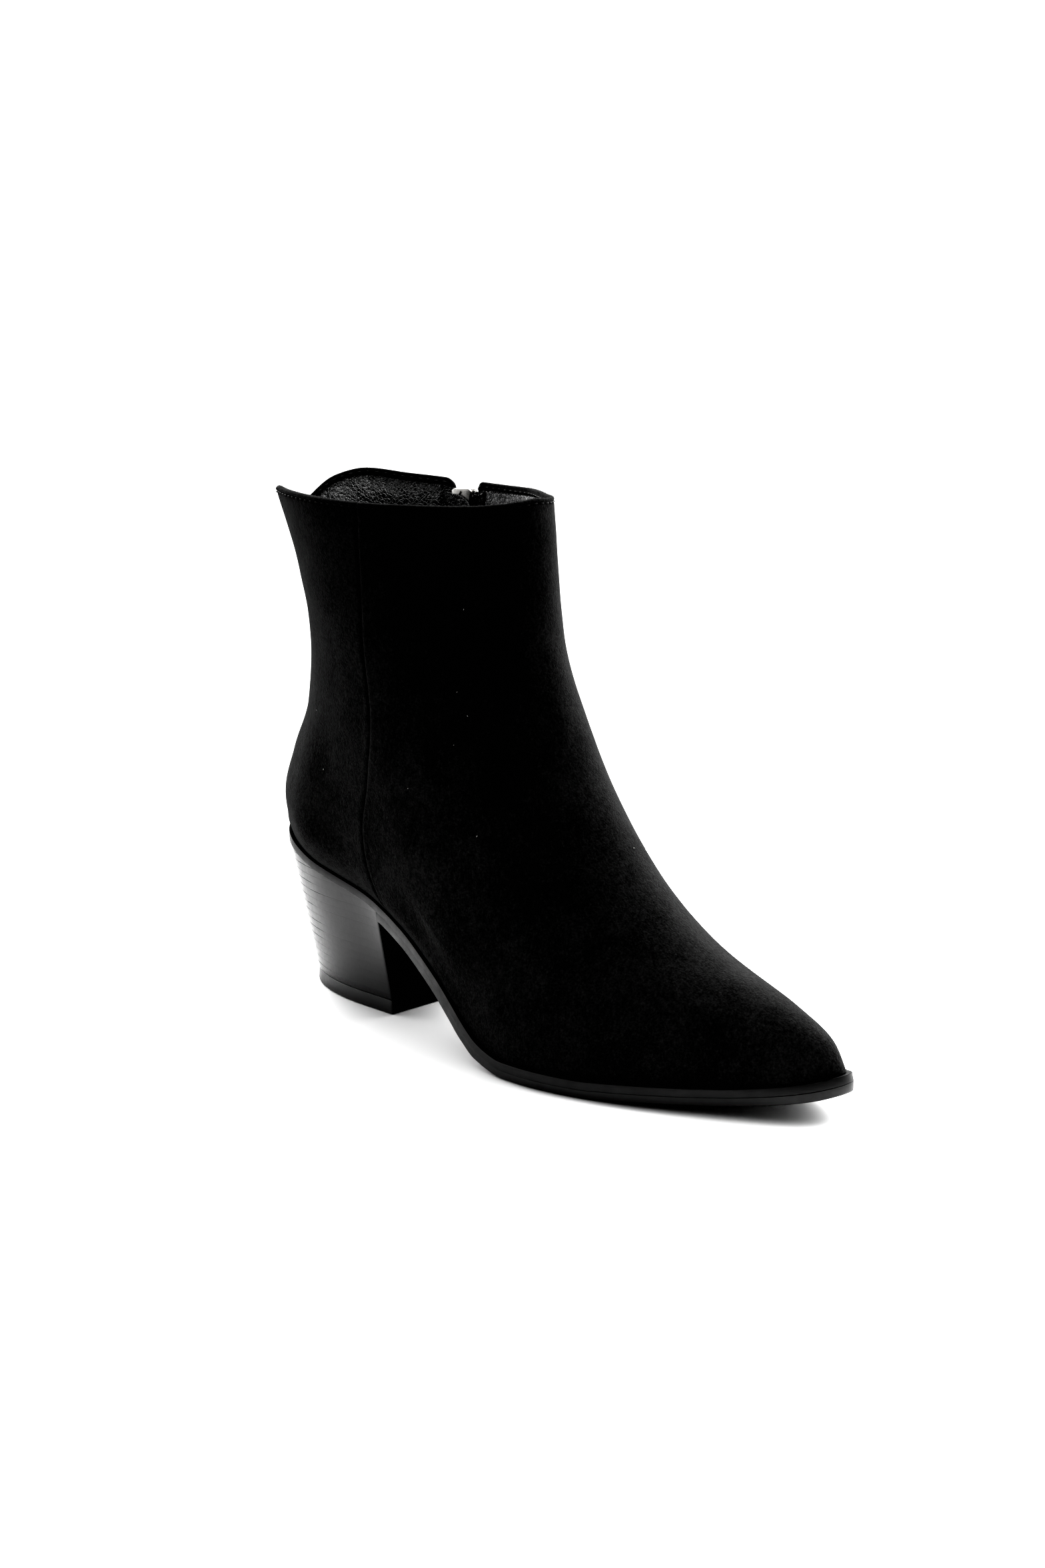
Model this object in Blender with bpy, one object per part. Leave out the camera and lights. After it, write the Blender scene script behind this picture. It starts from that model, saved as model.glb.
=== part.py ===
"""Pointed toe ankle boot for the right foot, with a stacked block heel and an inside zip.

The boot is worked out in millimetres along its own length: x runs from the back of the heel to the
toe, y towards the inner side of the foot, z up from the floor. Meshes are written in metres with the
middle of the boot's box over the origin.
"""

import math

import bmesh
import bpy
import numpy as np
from mathutils import Matrix, Vector

MM = 0.001

# Driving dimensions, in millimetres
SOLE_LENGTH = 243.0
MIDDLE_X = 120.15
MIDDLE_Y = -0.482
GAP = 0.3
WELT_THICKNESS = 2.8
OUTSOLE_THICKNESS = 2.8
OUTSOLE_STEP = 0.2
OUTSOLE_TUCK = 0.8
TUCK_START_X = 115.0
TUCK_LENGTH = 30.0
TOE_TUCK_POWER = 8
UPPER_WALL = 1.8
HEEL_LIFT_THICKNESS = 5.0
HEEL_BREAST_X = 64.0
HEEL_STEP = 0.5
INSOLE_THICKNESS = 2.5
INSOLE_INSET = 5.6
INSOLE_BACK_X = 8.0
INSOLE_FRONT_X = 219.0
INSOLE_END_ROUNDNESS = 0.5

# Sole edge seen from above: distance from the centre line at each length, outer and inner side
OUTLINE_COLUMNS = ("x", "outer", "inner")
OUTLINE = (
    (24.5, 25.3, 25.3),
    (61.0, 27.0, 23.5),
    (80.0, 30.6, 21.2),
    (103.0, 35.8, 20.0),
    (127.0, 40.8, 25.0),
    (140.0, 42.3, 29.3),
    (152.0, 42.2, 32.4),
    (176.0, 37.2, 34.4),
    (196.0, 30.0, 28.8),
    (214.0, 21.6, 20.6),
    (230.0, 13.6, 13.2),
)
HEEL_ROUNDNESS = 58.0
TOE_ROUNDNESS = 30.0
TOE_SHIFT = 8.3
TOE_SHIFT_START = 0.45

# Top of the sole along the boot: heel seat, arch, flat tread and toe spring
SOLE_LINE_COLUMNS = ("x", "z")
SOLE_LINE = (
    (0.0, 58.4),
    (12.0, 54.0),
    (24.5, 49.8),
    (42.0, 45.8),
    (61.0, 41.4),
    (80.0, 35.4),
    (92.0, 30.0),
    (103.0, 24.3),
    (112.0, 18.6),
    (120.0, 13.1),
    (127.0, 9.0),
    (133.0, 7.1),
    (140.0, 5.9),
    (168.0, 5.9),
    (182.0, 6.8),
    (196.0, 7.8),
    (212.0, 9.1),
    (226.0, 11.0),
    (236.0, 13.2),
    (243.0, 15.4),
)

# Rings of the upper from its lower edge (level 0) to the collar (level 1). The half widths lie at five
# shares of each ring's length, and lean slides the upright lines of the side back at the bottom.
RING_COLUMNS = ("level", "back_x", "front_x", "front_z", "lean")
RINGS = (
    (0.00, 1.2, 240.4, 15.0, 0.31),
    (0.05, -1.9, 234.9, 23.0, 0.305),
    (0.12, -2.7, 221.0, 31.0, 0.29),
    (0.26, 2.6, 186.2, 43.6, 0.23),
    (0.42, 10.4, 156.2, 66.2, 0.11),
    (0.60, 13.0, 132.7, 99.9, -0.07),
    (0.80, 8.8, 118.2, 136.1, -0.21),
    (1.00, -1.1, 114.6, 182.2, -0.315),
)
WIDTH_SHARES = (0.12, 0.26, 0.42, 0.66, 0.90)
OUTER_WIDTHS = (
    (25.4, 27.2, 34.4, 40.0, 19.6),
    (28.6, 30.2, 34.2, 39.4, 20.8),
    (30.2, 31.9, 34.0, 37.6, 20.9),
    (28.0, 32.3, 34.4, 35.9, 24.0),
    (24.5, 31.7, 34.5, 34.1, 24.2),
    (23.0, 31.0, 34.7, 33.2, 21.8),
    (23.5, 32.2, 36.5, 34.4, 19.8),
    (25.6, 34.7, 39.2, 36.1, 18.4),
)
INNER_WIDTHS = (
    (25.0, 23.8, 19.5, 33.0, 19.6),
    (27.8, 27.0, 23.2, 33.6, 20.8),
    (29.4, 29.4, 26.6, 33.6, 21.4),
    (27.6, 30.8, 30.6, 33.2, 25.0),
    (24.5, 31.2, 33.2, 33.2, 24.4),
    (23.0, 31.0, 34.7, 33.2, 21.8),
    (23.5, 32.2, 36.5, 34.4, 19.8),
    (25.6, 34.7, 39.2, 36.1, 18.4),
)
LOWER_EDGE_SHARE = 0.96
LOWER_EDGE_BLEND = 0.12

# Height of the collar by the angle from the centre back, outer and inner side
COLLAR_COLUMNS = ("angle", "outer_z", "inner_z")
COLLAR = (
    (0.00, 170.8, 170.8),
    (0.30, 173.0, 178.2),
    (0.55, 177.2, 180.4),
    (0.90, 179.6, 178.8),
    (1.50, 180.0, 177.6),
    (2.30, 180.0, 179.8),
    (math.pi, 182.2, 182.2),
)

# Rows and columns of the upper
LEVELS = (0.0, 0.03, 0.07, 0.12, 0.17, 0.22, 0.27, 0.32, 0.37, 0.42, 0.47, 0.52, 0.57, 0.62, 0.67,
          0.72, 0.77, 0.82, 0.87, 0.92, 0.96, 1.0)
SEAM_ANGLE = 1.675
SEAM_HALF_ANGLE = 0.02
SEAM_ROOM_ANGLE = 0.09
SEAM_DEPTH = 0.5

# Zip on the inner side
ZIP_ANGLE = 2.0 * math.pi - 2.10
ZIP_ROOM_ANGLE = 0.16
ZIP_LOW_LEVEL = 0.17
ZIP_LOW_HALF_GAP = 3.4
ZIP_TOP_HALF_GAP = 5.6
ZIP_FLARE_LEVEL = 0.86
TAPE_THICKNESS = 0.8
TAPE_HALF_WIDTH = 8.5
TAPE_LOW_LEVEL = 0.13
TAPE_TOP_LEVEL = 0.98
TAPE_SHOWING = 1.4
TEETH_HALF_WIDTH = 2.0
TEETH_THICKNESS = 2.2
TEETH_RIB = 0.35
TEETH_COUNT = 52
TEETH_END_ROOM = 0.012
SLIDER_LEVEL = 0.955
SLIDER_LENGTH = 9.0
SLIDER_TOP_WIDTH = 8.0
SLIDER_PLATE = 1.1
SLIDER_ROOM = 3.2
WEDGE_WIDTH = 2.6
WEDGE_LENGTH = 3.4
SLIDER_TAPER = 0.7
WEDGE_TAPER = 0.3
JOIN_DEPTH = 0.4
BRIDGE_LENGTH = 5.2
BRIDGE_WIDTH = 2.2
BRIDGE_BAR = 0.8
BRIDGE_ROOM = 1.9
PULL_LENGTH = 20.0
PULL_WIDTH = 5.6
PULL_THICKNESS = 1.0
PULL_SLOT_LENGTH = 3.0
PULL_SLOT_WIDTH = 3.2
GUARD_THICKNESS = 0.8
GUARD_REAR_DEPTH = 3.2
GUARD_FRONT_DEPTH = 6.0
GUARD_REAR = -8.0
GUARD_FRONT = 6.0
GUARD_LOW_LEVEL = 0.15
GUARD_TOP_LEVEL = 0.968
GUARD_CORNER = 0.035
GUARD_RAMP = 4.0
GUARD_CORNER_REACH = 7.0

# Heel: underside of the lift
LIFT_BACK_X = 9.1
LIFT_FRONT_X = 66.3
LIFT_HALF_WIDTH = 22.3
LIFT_STRAIGHT_SHARE = 0.75
LIFT_CURVE = 2.2

END_STATIONS = (0.0, 0.4, 1.5, 3.4, 6.0, 9.5, 14.0, 19.5)
STATION_STEP = 5.2
STATION_ROOM = 0.2
HEEL_STATIONS = 17

COLOURS = {
    "upper": (0.012, 0.012, 0.013, 0.90),
    "insole": (0.020, 0.020, 0.021, 0.60),
    "welt": (0.030, 0.030, 0.031, 0.45),
    "outsole": (0.022, 0.022, 0.023, 0.55),
    "heel_block": (0.028, 0.028, 0.029, 0.35),
    "heel_lift": (0.016, 0.016, 0.016, 0.60),
    "zip_tape": (0.014, 0.014, 0.014, 0.85),
    "zip_teeth": (0.020, 0.020, 0.020, 0.40),
    "zip_slider": (0.70, 0.70, 0.70, 0.25),
    "zip_pull": (0.70, 0.70, 0.70, 0.25),
    "zip_guard": (0.016, 0.016, 0.017, 0.60),
}
METAL_PIECES = ("zip_slider", "zip_pull")


def column(table, names, name):
    """One named column of a table as an array."""
    return np.array([row[names.index(name)] for row in table])


def curve_through(stations, values, at):
    """Cubic curve through a table's points that keeps its rises and falls."""
    stations = np.asarray(stations, float)
    values = np.asarray(values, float)
    at = np.clip(np.asarray(at, float), stations[0], stations[-1])
    steps = np.diff(stations)
    rises = np.diff(values) / steps
    slopes = np.zeros_like(values)
    slopes[0] = rises[0]
    slopes[-1] = rises[-1]
    for i in range(1, len(values) - 1):
        if rises[i - 1] * rises[i] > 0:
            near = 2 * steps[i] + steps[i - 1]
            far = steps[i] + 2 * steps[i - 1]
            slopes[i] = (near + far) / (near / rises[i - 1] + far / rises[i])
    cell = np.clip(np.searchsorted(stations, at, side="right") - 1, 0, len(steps) - 1)
    u = (at - stations[cell]) / steps[cell]
    start = (1 + 2 * u) * (1 - u) ** 2 * values[cell] + u * (1 - u) ** 2 * steps[cell] * slopes[cell]
    end = u * u * (3 - 2 * u) * values[cell + 1] + u * u * (u - 1) * steps[cell] * slopes[cell + 1]
    return start + end


def sole_top(x):
    """Height of the sole's upper face at length x."""
    lengths = column(SOLE_LINE, SOLE_LINE_COLUMNS, "x")
    heights = column(SOLE_LINE, SOLE_LINE_COLUMNS, "z")
    return curve_through(lengths, heights, x)


def below_sole_top(x, depth):
    """Height of a face that lies below the sole's upper face by depth, measured square to the sole's line."""
    small = 0.5
    slope = (sole_top(np.asarray(x) + small) - sole_top(np.asarray(x) - small)) / (2 * small)
    return sole_top(x) - depth * np.hypot(1.0, slope)


def centre_line(x):
    """Sideways bend of the boot towards the inner side at the toe."""
    share = (np.asarray(x) / SOLE_LENGTH - TOE_SHIFT_START) / (1 - TOE_SHIFT_START)
    return TOE_SHIFT * np.clip(share, 0.0, 1.0) ** 2


def ellipse_height(share):
    """Half width of a unit ellipse at a share of its length."""
    return 2.0 * np.sqrt(np.clip(share * (1 - share), 0.0, None))


def sole_fullness(side, share):
    """Half width of the sole divided by that of a unit ellipse."""
    x = column(OUTLINE, OUTLINE_COLUMNS, "x")
    full = column(OUTLINE, OUTLINE_COLUMNS, side) / ellipse_height(x / SOLE_LENGTH)
    stations = np.concatenate([[0.0], x / SOLE_LENGTH, [1.0]])
    values = np.concatenate([[HEEL_ROUNDNESS], full, [TOE_ROUNDNESS]])
    return curve_through(stations, values, share)


def sole_half_width(side, x):
    """Distance of the sole's edge from the centre line."""
    share = np.clip(np.asarray(x, float) / SOLE_LENGTH, 0.0, 1.0)
    return sole_fullness(side, share) * ellipse_height(share)


def ring_value(name, level):
    """One column of the ring table at any level."""
    return curve_through(column(RINGS, RING_COLUMNS, "level"), column(RINGS, RING_COLUMNS, name), level)


def upper_fullness(side, share, level):
    """Half width of a ring divided by that of a unit ellipse."""
    table = np.array(OUTER_WIDTHS if side == "outer" else INNER_WIDTHS)
    levels = column(RINGS, RING_COLUMNS, "level")
    shares = np.array(WIDTH_SHARES)
    row = np.array([curve_through(levels, table[:, i], level) for i in range(len(shares))])
    row = row / ellipse_height(shares)
    stations = np.concatenate([[0.0], shares, [1.0]])
    full = curve_through(stations, np.concatenate([[row[0]], row, [row[-1]]]), share)
    if level < LOWER_EDGE_BLEND:
        first = table[0] / ellipse_height(shares)
        edge = LOWER_EDGE_SHARE * sole_fullness(side, share)
        lowest = curve_through(stations, np.concatenate([[first[0]], first, [first[-1]]]), share)
        full = full + (edge - lowest) * (1 - level / LOWER_EDGE_BLEND) ** 2
    return full


def ring_angle(angle, level, shift=0.0):
    """Angle around a ring for one upright line, moved along the boot by shift millimetres."""
    turned = angle + ring_value("lean", level) * math.sin(angle)
    reach = 0.5 * (ring_value("front_x", level) - ring_value("back_x", level)) * abs(math.sin(turned))
    if shift == 0.0:
        return turned
    forward = -1.0 if math.sin(turned) > 0 else 1.0
    return turned + forward * shift / reach


def collar_height(turned):
    """Height of the collar at an angle around the ring."""
    away = abs(turned - math.pi)
    side = "outer_z" if turned < math.pi else "inner_z"
    angles = column(COLLAR, COLLAR_COLUMNS, "angle")
    heights = column(COLLAR, COLLAR_COLUMNS, side)
    return curve_through(angles, heights, away)


def upper_point(angle, level, shift=0.0):
    """Point on the outside of the upper, in millimetres."""
    turned = float(ring_angle(angle, level, shift))
    share = 0.5 * (1 + math.cos(turned))
    back = float(ring_value("back_x", level))
    front = float(ring_value("front_x", level))
    x = back + share * (front - back)
    low_x = RINGS[0][1] + share * (RINGS[0][2] - RINGS[0][1])
    low_z = float(sole_top(low_x)) + GAP
    top_z = float(collar_height(turned))
    front_low = RINGS[0][3]
    front_top = RINGS[-1][3]
    front_rise = (float(ring_value("front_z", level)) - front_low) / (front_top - front_low)
    rise = (1 - share) * level + share * front_rise
    side = "outer" if math.sin(turned) > 0 else "inner"
    half = float(upper_fullness(side, share, level))
    y = float(centre_line(x)) - half * math.sin(turned)
    return np.array([x, y, low_z + (top_z - low_z) * rise])


def upper_normal(angle, level, shift=0.0):
    """Outward direction of the upper's surface."""
    small = 0.004
    low = max(level - small, 0.0)
    high = min(level + small, 1.0)
    along = upper_point(angle + small, level, shift) - upper_point(angle - small, level, shift)
    up = upper_point(angle, high, shift) - upper_point(angle, low, shift)
    normal = np.cross(up, along)
    return normal / np.linalg.norm(normal)


def upper_inside(angle, level, depth, shift=0.0):
    """Point below the upper's surface by depth. The lowest edge stays level with the sole."""
    point = upper_point(angle, level, shift)
    normal = upper_normal(angle, level, shift)
    if level == 0.0:
        flat = normal[:2] / max(np.linalg.norm(normal[:2]), 0.5) ** 2
        inside = np.array([point[0] - depth * flat[0], point[1] - depth * flat[1], 0.0])
        inside[2] = float(sole_top(inside[0])) + GAP
        return inside
    inside = point - depth * normal
    inside[2] = max(inside[2], float(sole_top(inside[0])) + GAP)
    return inside


def placed(points):
    """Boot millimetres to metres about the middle of the boot."""
    return (np.asarray(points, float) - np.array([MIDDLE_X, MIDDLE_Y, 0.0])) * MM


def material(name):
    """Plain material of one piece."""
    red, green, blue, roughness = COLOURS[name]
    made = bpy.data.materials.new(name)
    made.use_nodes = True
    shader = made.node_tree.nodes["Principled BSDF"]
    shader.inputs["Base Color"].default_value = (red, green, blue, 1.0)
    shader.inputs["Roughness"].default_value = roughness
    shader.inputs["Metallic"].default_value = 1.0 if name in METAL_PIECES else 0.0
    return made


def finish(name, mesh, collection):
    """Puts a mesh into the scene as one piece with its own material."""
    mesh.name = name
    mesh.shade_smooth()
    mesh.set_sharp_from_angle(angle=math.radians(35))
    mesh.materials.append(material(name))
    piece = bpy.data.objects.new(name, mesh)
    collection.objects.link(piece)
    return piece


def thick_sheet(name, front, back, collection, closed=False, missing=()):
    """Solid between two grids of points, with walls along every open edge and around missing cells."""
    rows, columns = front.shape[:2]
    points = np.concatenate([placed(front).reshape(-1, 3), placed(back).reshape(-1, 3)])
    cell_columns = columns if closed else columns - 1
    kept = {(i, j) for i in range(rows - 1) for j in range(cell_columns)} - set(missing)

    def corner(i, j, layer):
        return layer * rows * columns + i * columns + j % columns

    faces = []
    for i, j in sorted(kept):
        face = [(i, j), (i, j + 1), (i + 1, j + 1), (i + 1, j)]
        faces.append([corner(a, b, 0) for a, b in face])
        faces.append([corner(a, b, 1) for a, b in reversed(face)])
        beside = [(i - 1, j), (i, j + 1), (i + 1, j), (i, j - 1)]
        for k, (a, b) in enumerate(beside):
            other = (a, b % columns) if closed else (a, b)
            if other not in kept:
                start = face[k]
                end = face[(k + 1) % 4]
                faces.append([corner(*end, 0), corner(*start, 0), corner(*start, 1), corner(*end, 1)])
    mesh = bpy.data.meshes.new(name)
    mesh.from_pydata([tuple(p) for p in points], [], faces)
    shape = bmesh.new()
    shape.from_mesh(mesh)
    bmesh.ops.delete(shape, geom=[v for v in shape.verts if not v.link_faces], context="VERTS")
    bmesh.ops.remove_doubles(shape, verts=shape.verts, dist=1e-7)
    bmesh.ops.recalc_face_normals(shape, faces=shape.faces)
    shape.to_mesh(mesh)
    shape.free()
    return finish(name, mesh, collection)


def sole_stations(start, end):
    """Lengths at which every plate of the sole is cut, from start to end, closer at the rounded ends."""
    near = np.array(END_STATIONS)
    middle = np.arange(near[-1], SOLE_LENGTH - near[-1], STATION_STEP)[1:]
    x = np.concatenate([near, middle, SOLE_LENGTH - near[::-1]])
    inside = x[(x > start + STATION_ROOM) & (x < end - STATION_ROOM)]
    return np.concatenate([[start], inside, [end]])


def sole_face(x, z, narrowing):
    """Outer and inner edge of one face of a sole plate, set in from the sole's outline by narrowing."""
    edges = []
    for side, sign in (("outer", -1.0), ("inner", 1.0)):
        half = np.maximum(sole_half_width(side, x) - narrowing, 0.0)
        edges.append(np.stack([x, sign * half + centre_line(x), z], -1))
    return np.stack(edges, 1)


def build_welt(collection):
    """Upper band of the sole edge, from the back of the heel to the toe."""
    x = sole_stations(0.0, SOLE_LENGTH)
    top = sole_face(x, sole_top(x), 0.0)
    bottom = sole_face(x, below_sole_top(x, WELT_THICKNESS), 0.0)
    return thick_sheet("welt", top, bottom, collection)


def build_outsole(collection):
    """Lower band of the sole edge and tread, its edge tucked under at the forefoot."""
    toe_end = SOLE_LENGTH - OUTSOLE_STEP
    x = sole_stations(HEEL_BREAST_X + GAP, toe_end)
    top_z = below_sole_top(x, WELT_THICKNESS + GAP)
    bottom_z = below_sole_top(x, WELT_THICKNESS + GAP + OUTSOLE_THICKNESS)
    tuck = OUTSOLE_TUCK * np.clip((x - TUCK_START_X) / TUCK_LENGTH, 0.0, 1.0)
    top_step = np.where(x < toe_end, OUTSOLE_STEP, SOLE_LENGTH)
    top = sole_face(x, top_z, top_step)
    bottom_x = np.minimum(x, toe_end - OUTSOLE_TUCK * (x / toe_end) ** TOE_TUCK_POWER)
    bottom_step = np.where(x < toe_end, OUTSOLE_STEP + tuck, SOLE_LENGTH)
    bottom = sole_face(bottom_x, bottom_z, bottom_step)
    return thick_sheet("outsole", top, bottom, collection)


def build_insole(collection):
    """Footbed inside the upper."""
    x = sole_stations(INSOLE_BACK_X, INSOLE_FRONT_X)
    share = (x - INSOLE_BACK_X) / (INSOLE_FRONT_X - INSOLE_BACK_X)
    round_ends = np.minimum(1.0, ellipse_height(share) / INSOLE_END_ROUNDNESS)
    outer_set_in = sole_half_width("outer", x) * (1 - round_ends) + INSOLE_INSET * round_ends
    inner_set_in = sole_half_width("inner", x) * (1 - round_ends) + INSOLE_INSET * round_ends
    set_in = np.maximum(outer_set_in, inner_set_in)
    set_in[[0, -1]] = SOLE_LENGTH
    bottom = sole_face(x, sole_top(x) + GAP, set_in)
    top = sole_face(x, sole_top(x) + GAP + INSOLE_THICKNESS, set_in)
    return thick_sheet("insole", top, bottom, collection)


def lift_outline(share):
    """Half width of the heel's lower end at a share of its length."""
    bend = 1 - (1 - np.clip(share / LIFT_STRAIGHT_SHARE, 0.0, 1.0)) ** LIFT_CURVE
    return LIFT_HALF_WIDTH * np.sqrt(np.clip(bend, 0.0, None))


def heel_faces(height):
    """Outer and inner edge of the heel at a share of its height, 1 being the seat."""
    share = 1 - np.cos(np.linspace(0.0, 0.5 * math.pi, HEEL_STATIONS))
    seat_x = HEEL_STEP + (HEEL_BREAST_X - HEEL_STEP) * share
    seat_z = below_sole_top(seat_x, WELT_THICKNESS + GAP)
    low_x = LIFT_BACK_X + (LIFT_FRONT_X - LIFT_BACK_X) * share
    low_half = lift_outline(share)
    low_z = HEEL_LIFT_THICKNESS + GAP
    edges = []
    for side, sign in (("outer", -1.0), ("inner", 1.0)):
        seat_half = np.maximum(sole_half_width(side, seat_x) - HEEL_STEP, 0.0)
        seat_half[0] = 0.0
        x = low_x + (seat_x - low_x) * height
        half = low_half + (seat_half - low_half) * height
        z = low_z + (seat_z - low_z) * height
        edges.append(np.stack([x, sign * half, z], -1))
    return np.stack(edges, 1)


def build_heel(collection):
    """Stacked heel block and the lift it stands on."""
    thick_sheet("heel_block", heel_faces(1.0), heel_faces(0.0), collection)
    top = heel_faces(0.0)
    top[:, :, 2] = HEEL_LIFT_THICKNESS
    bottom = top.copy()
    bottom[:, :, 2] = 0.0
    thick_sheet("heel_lift", top, bottom, collection)


def zip_half_gap(level):
    """Half the opening between the two leather edges of the zip."""
    flare = max(0.0, (level - ZIP_FLARE_LEVEL) / (1 - ZIP_FLARE_LEVEL))
    return ZIP_LOW_HALF_GAP + (ZIP_TOP_HALF_GAP - ZIP_LOW_HALF_GAP) * flare ** 2


def upper_columns():
    """Upright lines around the upper: angle, and which edge of the zip if any."""
    outer_front = list(np.linspace(0.0, SEAM_ANGLE - SEAM_ROOM_ANGLE, 20))
    seam = [SEAM_ANGLE - SEAM_HALF_ANGLE, SEAM_ANGLE, SEAM_ANGLE + SEAM_HALF_ANGLE]
    outer_back = list(np.linspace(SEAM_ANGLE + SEAM_ROOM_ANGLE, math.pi, 14))
    inner_back = list(np.linspace(math.pi, ZIP_ANGLE - ZIP_ROOM_ANGLE, 10)[1:])
    inner_front = list(np.linspace(ZIP_ANGLE + ZIP_ROOM_ANGLE, 2 * math.pi, 22)[:-1])
    lines = [(angle, 0) for angle in outer_front + seam + outer_back + inner_back]
    lines += [(ZIP_ANGLE, -1), (ZIP_ANGLE, 1)]
    return lines + [(angle, 0) for angle in inner_front]


def build_upper(collection):
    """Vamp and shaft as one hollow wall, open below and at the collar, slit for the zip."""
    lines = upper_columns()
    outside = np.zeros((len(LEVELS), len(lines), 3))
    inside = np.zeros_like(outside)
    for i, level in enumerate(LEVELS):
        for j, (angle, edge) in enumerate(lines):
            shift = edge * zip_half_gap(level)
            outside[i, j] = upper_point(angle, level, shift)
            inside[i, j] = upper_inside(angle, level, UPPER_WALL, shift)
            if angle == SEAM_ANGLE:
                outside[i, j] = upper_inside(angle, level, SEAM_DEPTH)
    slit = [k for k, (angle, edge) in enumerate(lines) if edge == -1][0]
    missing = [(i, slit) for i in range(len(LEVELS) - 1) if LEVELS[i] >= ZIP_LOW_LEVEL]
    return thick_sheet("upper", outside, inside, collection, closed=True, missing=missing)


def zip_sheet(name, collection, levels, offsets, depth, thickness, missing=()):
    """Sheet behind the zip opening, its columns given in millimetres from the zip's middle."""
    front = np.zeros((len(levels), len(offsets(levels[0])), 3))
    back = np.zeros_like(front)
    for i, level in enumerate(levels):
        for j, shift in enumerate(offsets(level)):
            here = depth(i, shift)
            front[i, j] = upper_inside(ZIP_ANGLE, level, here, shift)
            back[i, j] = upper_inside(ZIP_ANGLE, level, here + thickness, shift)
    return thick_sheet(name, front, back, collection, missing=missing)


def build_zip_tape(collection):
    """Woven tapes on both sides of the teeth, joined below them."""
    closed_part = list(np.linspace(ZIP_LOW_LEVEL, ZIP_FLARE_LEVEL, 15))
    spread_part = list(np.linspace(ZIP_FLARE_LEVEL, TAPE_TOP_LEVEL, 5)[1:])
    levels = [TAPE_LOW_LEVEL] + closed_part + spread_part

    def offsets(level):
        near = max(TEETH_HALF_WIDTH + GAP, zip_half_gap(level) - TAPE_SHOWING)
        return (-TAPE_HALF_WIDTH, -near, near, TAPE_HALF_WIDTH)

    def depth(row, shift):
        return UPPER_WALL + GAP

    missing = [(i, 1) for i in range(1, len(levels) - 1)]
    return zip_sheet("zip_tape", collection, levels, offsets, depth, TAPE_THICKNESS, missing)


def build_zip_teeth(collection):
    """Closed row of teeth, ribbed across, from the bottom of the zip to the slider."""
    levels = np.linspace(ZIP_LOW_LEVEL + TEETH_END_ROOM, SLIDER_LEVEL - TEETH_END_ROOM, 2 * TEETH_COUNT + 1)
    middle = UPPER_WALL + GAP + 0.5 * TAPE_THICKNESS

    def offsets(level):
        return (-TEETH_HALF_WIDTH, TEETH_HALF_WIDTH)

    def depth(row, shift):
        return middle - 0.5 * TEETH_THICKNESS + TEETH_RIB * (row % 2)

    return zip_sheet("zip_teeth", collection, levels, offsets, depth, TEETH_THICKNESS - TEETH_RIB)


def build_zip_guard(collection):
    """Flap inside the boot behind the zip, sewn at its rear edge, with a rounded top corner."""
    low = list(np.linspace(GUARD_LOW_LEVEL, GUARD_TOP_LEVEL - GUARD_CORNER, 14))
    levels = low + [GUARD_TOP_LEVEL - 0.02, GUARD_TOP_LEVEL - 0.008, GUARD_TOP_LEVEL]

    def offsets(level):
        into = max(0.0, (level - (GUARD_TOP_LEVEL - GUARD_CORNER)) / GUARD_CORNER)
        front = GUARD_FRONT - GUARD_CORNER_REACH * (1 - math.sqrt(max(0.0, 1 - into ** 2)))
        return tuple(np.linspace(GUARD_REAR, front, 5))

    def depth(row, shift):
        share = np.clip((shift - GUARD_REAR) / GUARD_RAMP, 0.0, 1.0)
        return GUARD_REAR_DEPTH + (GUARD_FRONT_DEPTH - GUARD_REAR_DEPTH) * share * share * (3 - 2 * share)

    return zip_sheet("zip_guard", collection, levels, offsets, depth, GUARD_THICKNESS)


def slider_frame():
    """Axes at the slider: across the zip towards the heel, up along it, and out of the boot."""
    middle = UPPER_WALL + GAP + 0.5 * TAPE_THICKNESS
    origin = placed(upper_inside(ZIP_ANGLE, SLIDER_LEVEL, middle))
    outward = Vector(upper_normal(ZIP_ANGLE, SLIDER_LEVEL))
    above = upper_point(ZIP_ANGLE, SLIDER_LEVEL + 0.02)
    below = upper_point(ZIP_ANGLE, SLIDER_LEVEL - 0.02)
    upward = Vector(above - below)
    across = upward.cross(outward).normalized()
    upward = outward.cross(across).normalized()
    turn = Matrix((across, upward, outward)).transposed()
    return Matrix.Translation(Vector(origin)) @ turn.to_4x4()


def block(name, size, centre, collection, taper=1.0):
    """Box in the slider's axes, in millimetres, with its lower end narrowed by taper."""
    shape = bmesh.new()
    bmesh.ops.create_cube(shape, size=1.0)
    for vertex in shape.verts:
        narrow = taper if vertex.co.y < 0 else 1.0
        vertex.co.x *= size[0] * narrow
        vertex.co.y *= size[1]
        vertex.co.z *= size[2]
        vertex.co += Vector(centre)
        vertex.co *= MM
    mesh = bpy.data.meshes.new(name)
    shape.to_mesh(mesh)
    shape.free()
    made = bpy.data.objects.new(name, mesh)
    collection.objects.link(made)
    return made


def join_solid(piece, cutter, operation):
    """Adds or removes a helper's shape with a Boolean modifier."""
    cutter.hide_render = True
    cutter.display_type = "WIRE"
    modifier = piece.modifiers.new(cutter.name, "BOOLEAN")
    modifier.operation = operation
    modifier.solver = "EXACT"
    modifier.object = cutter


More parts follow.
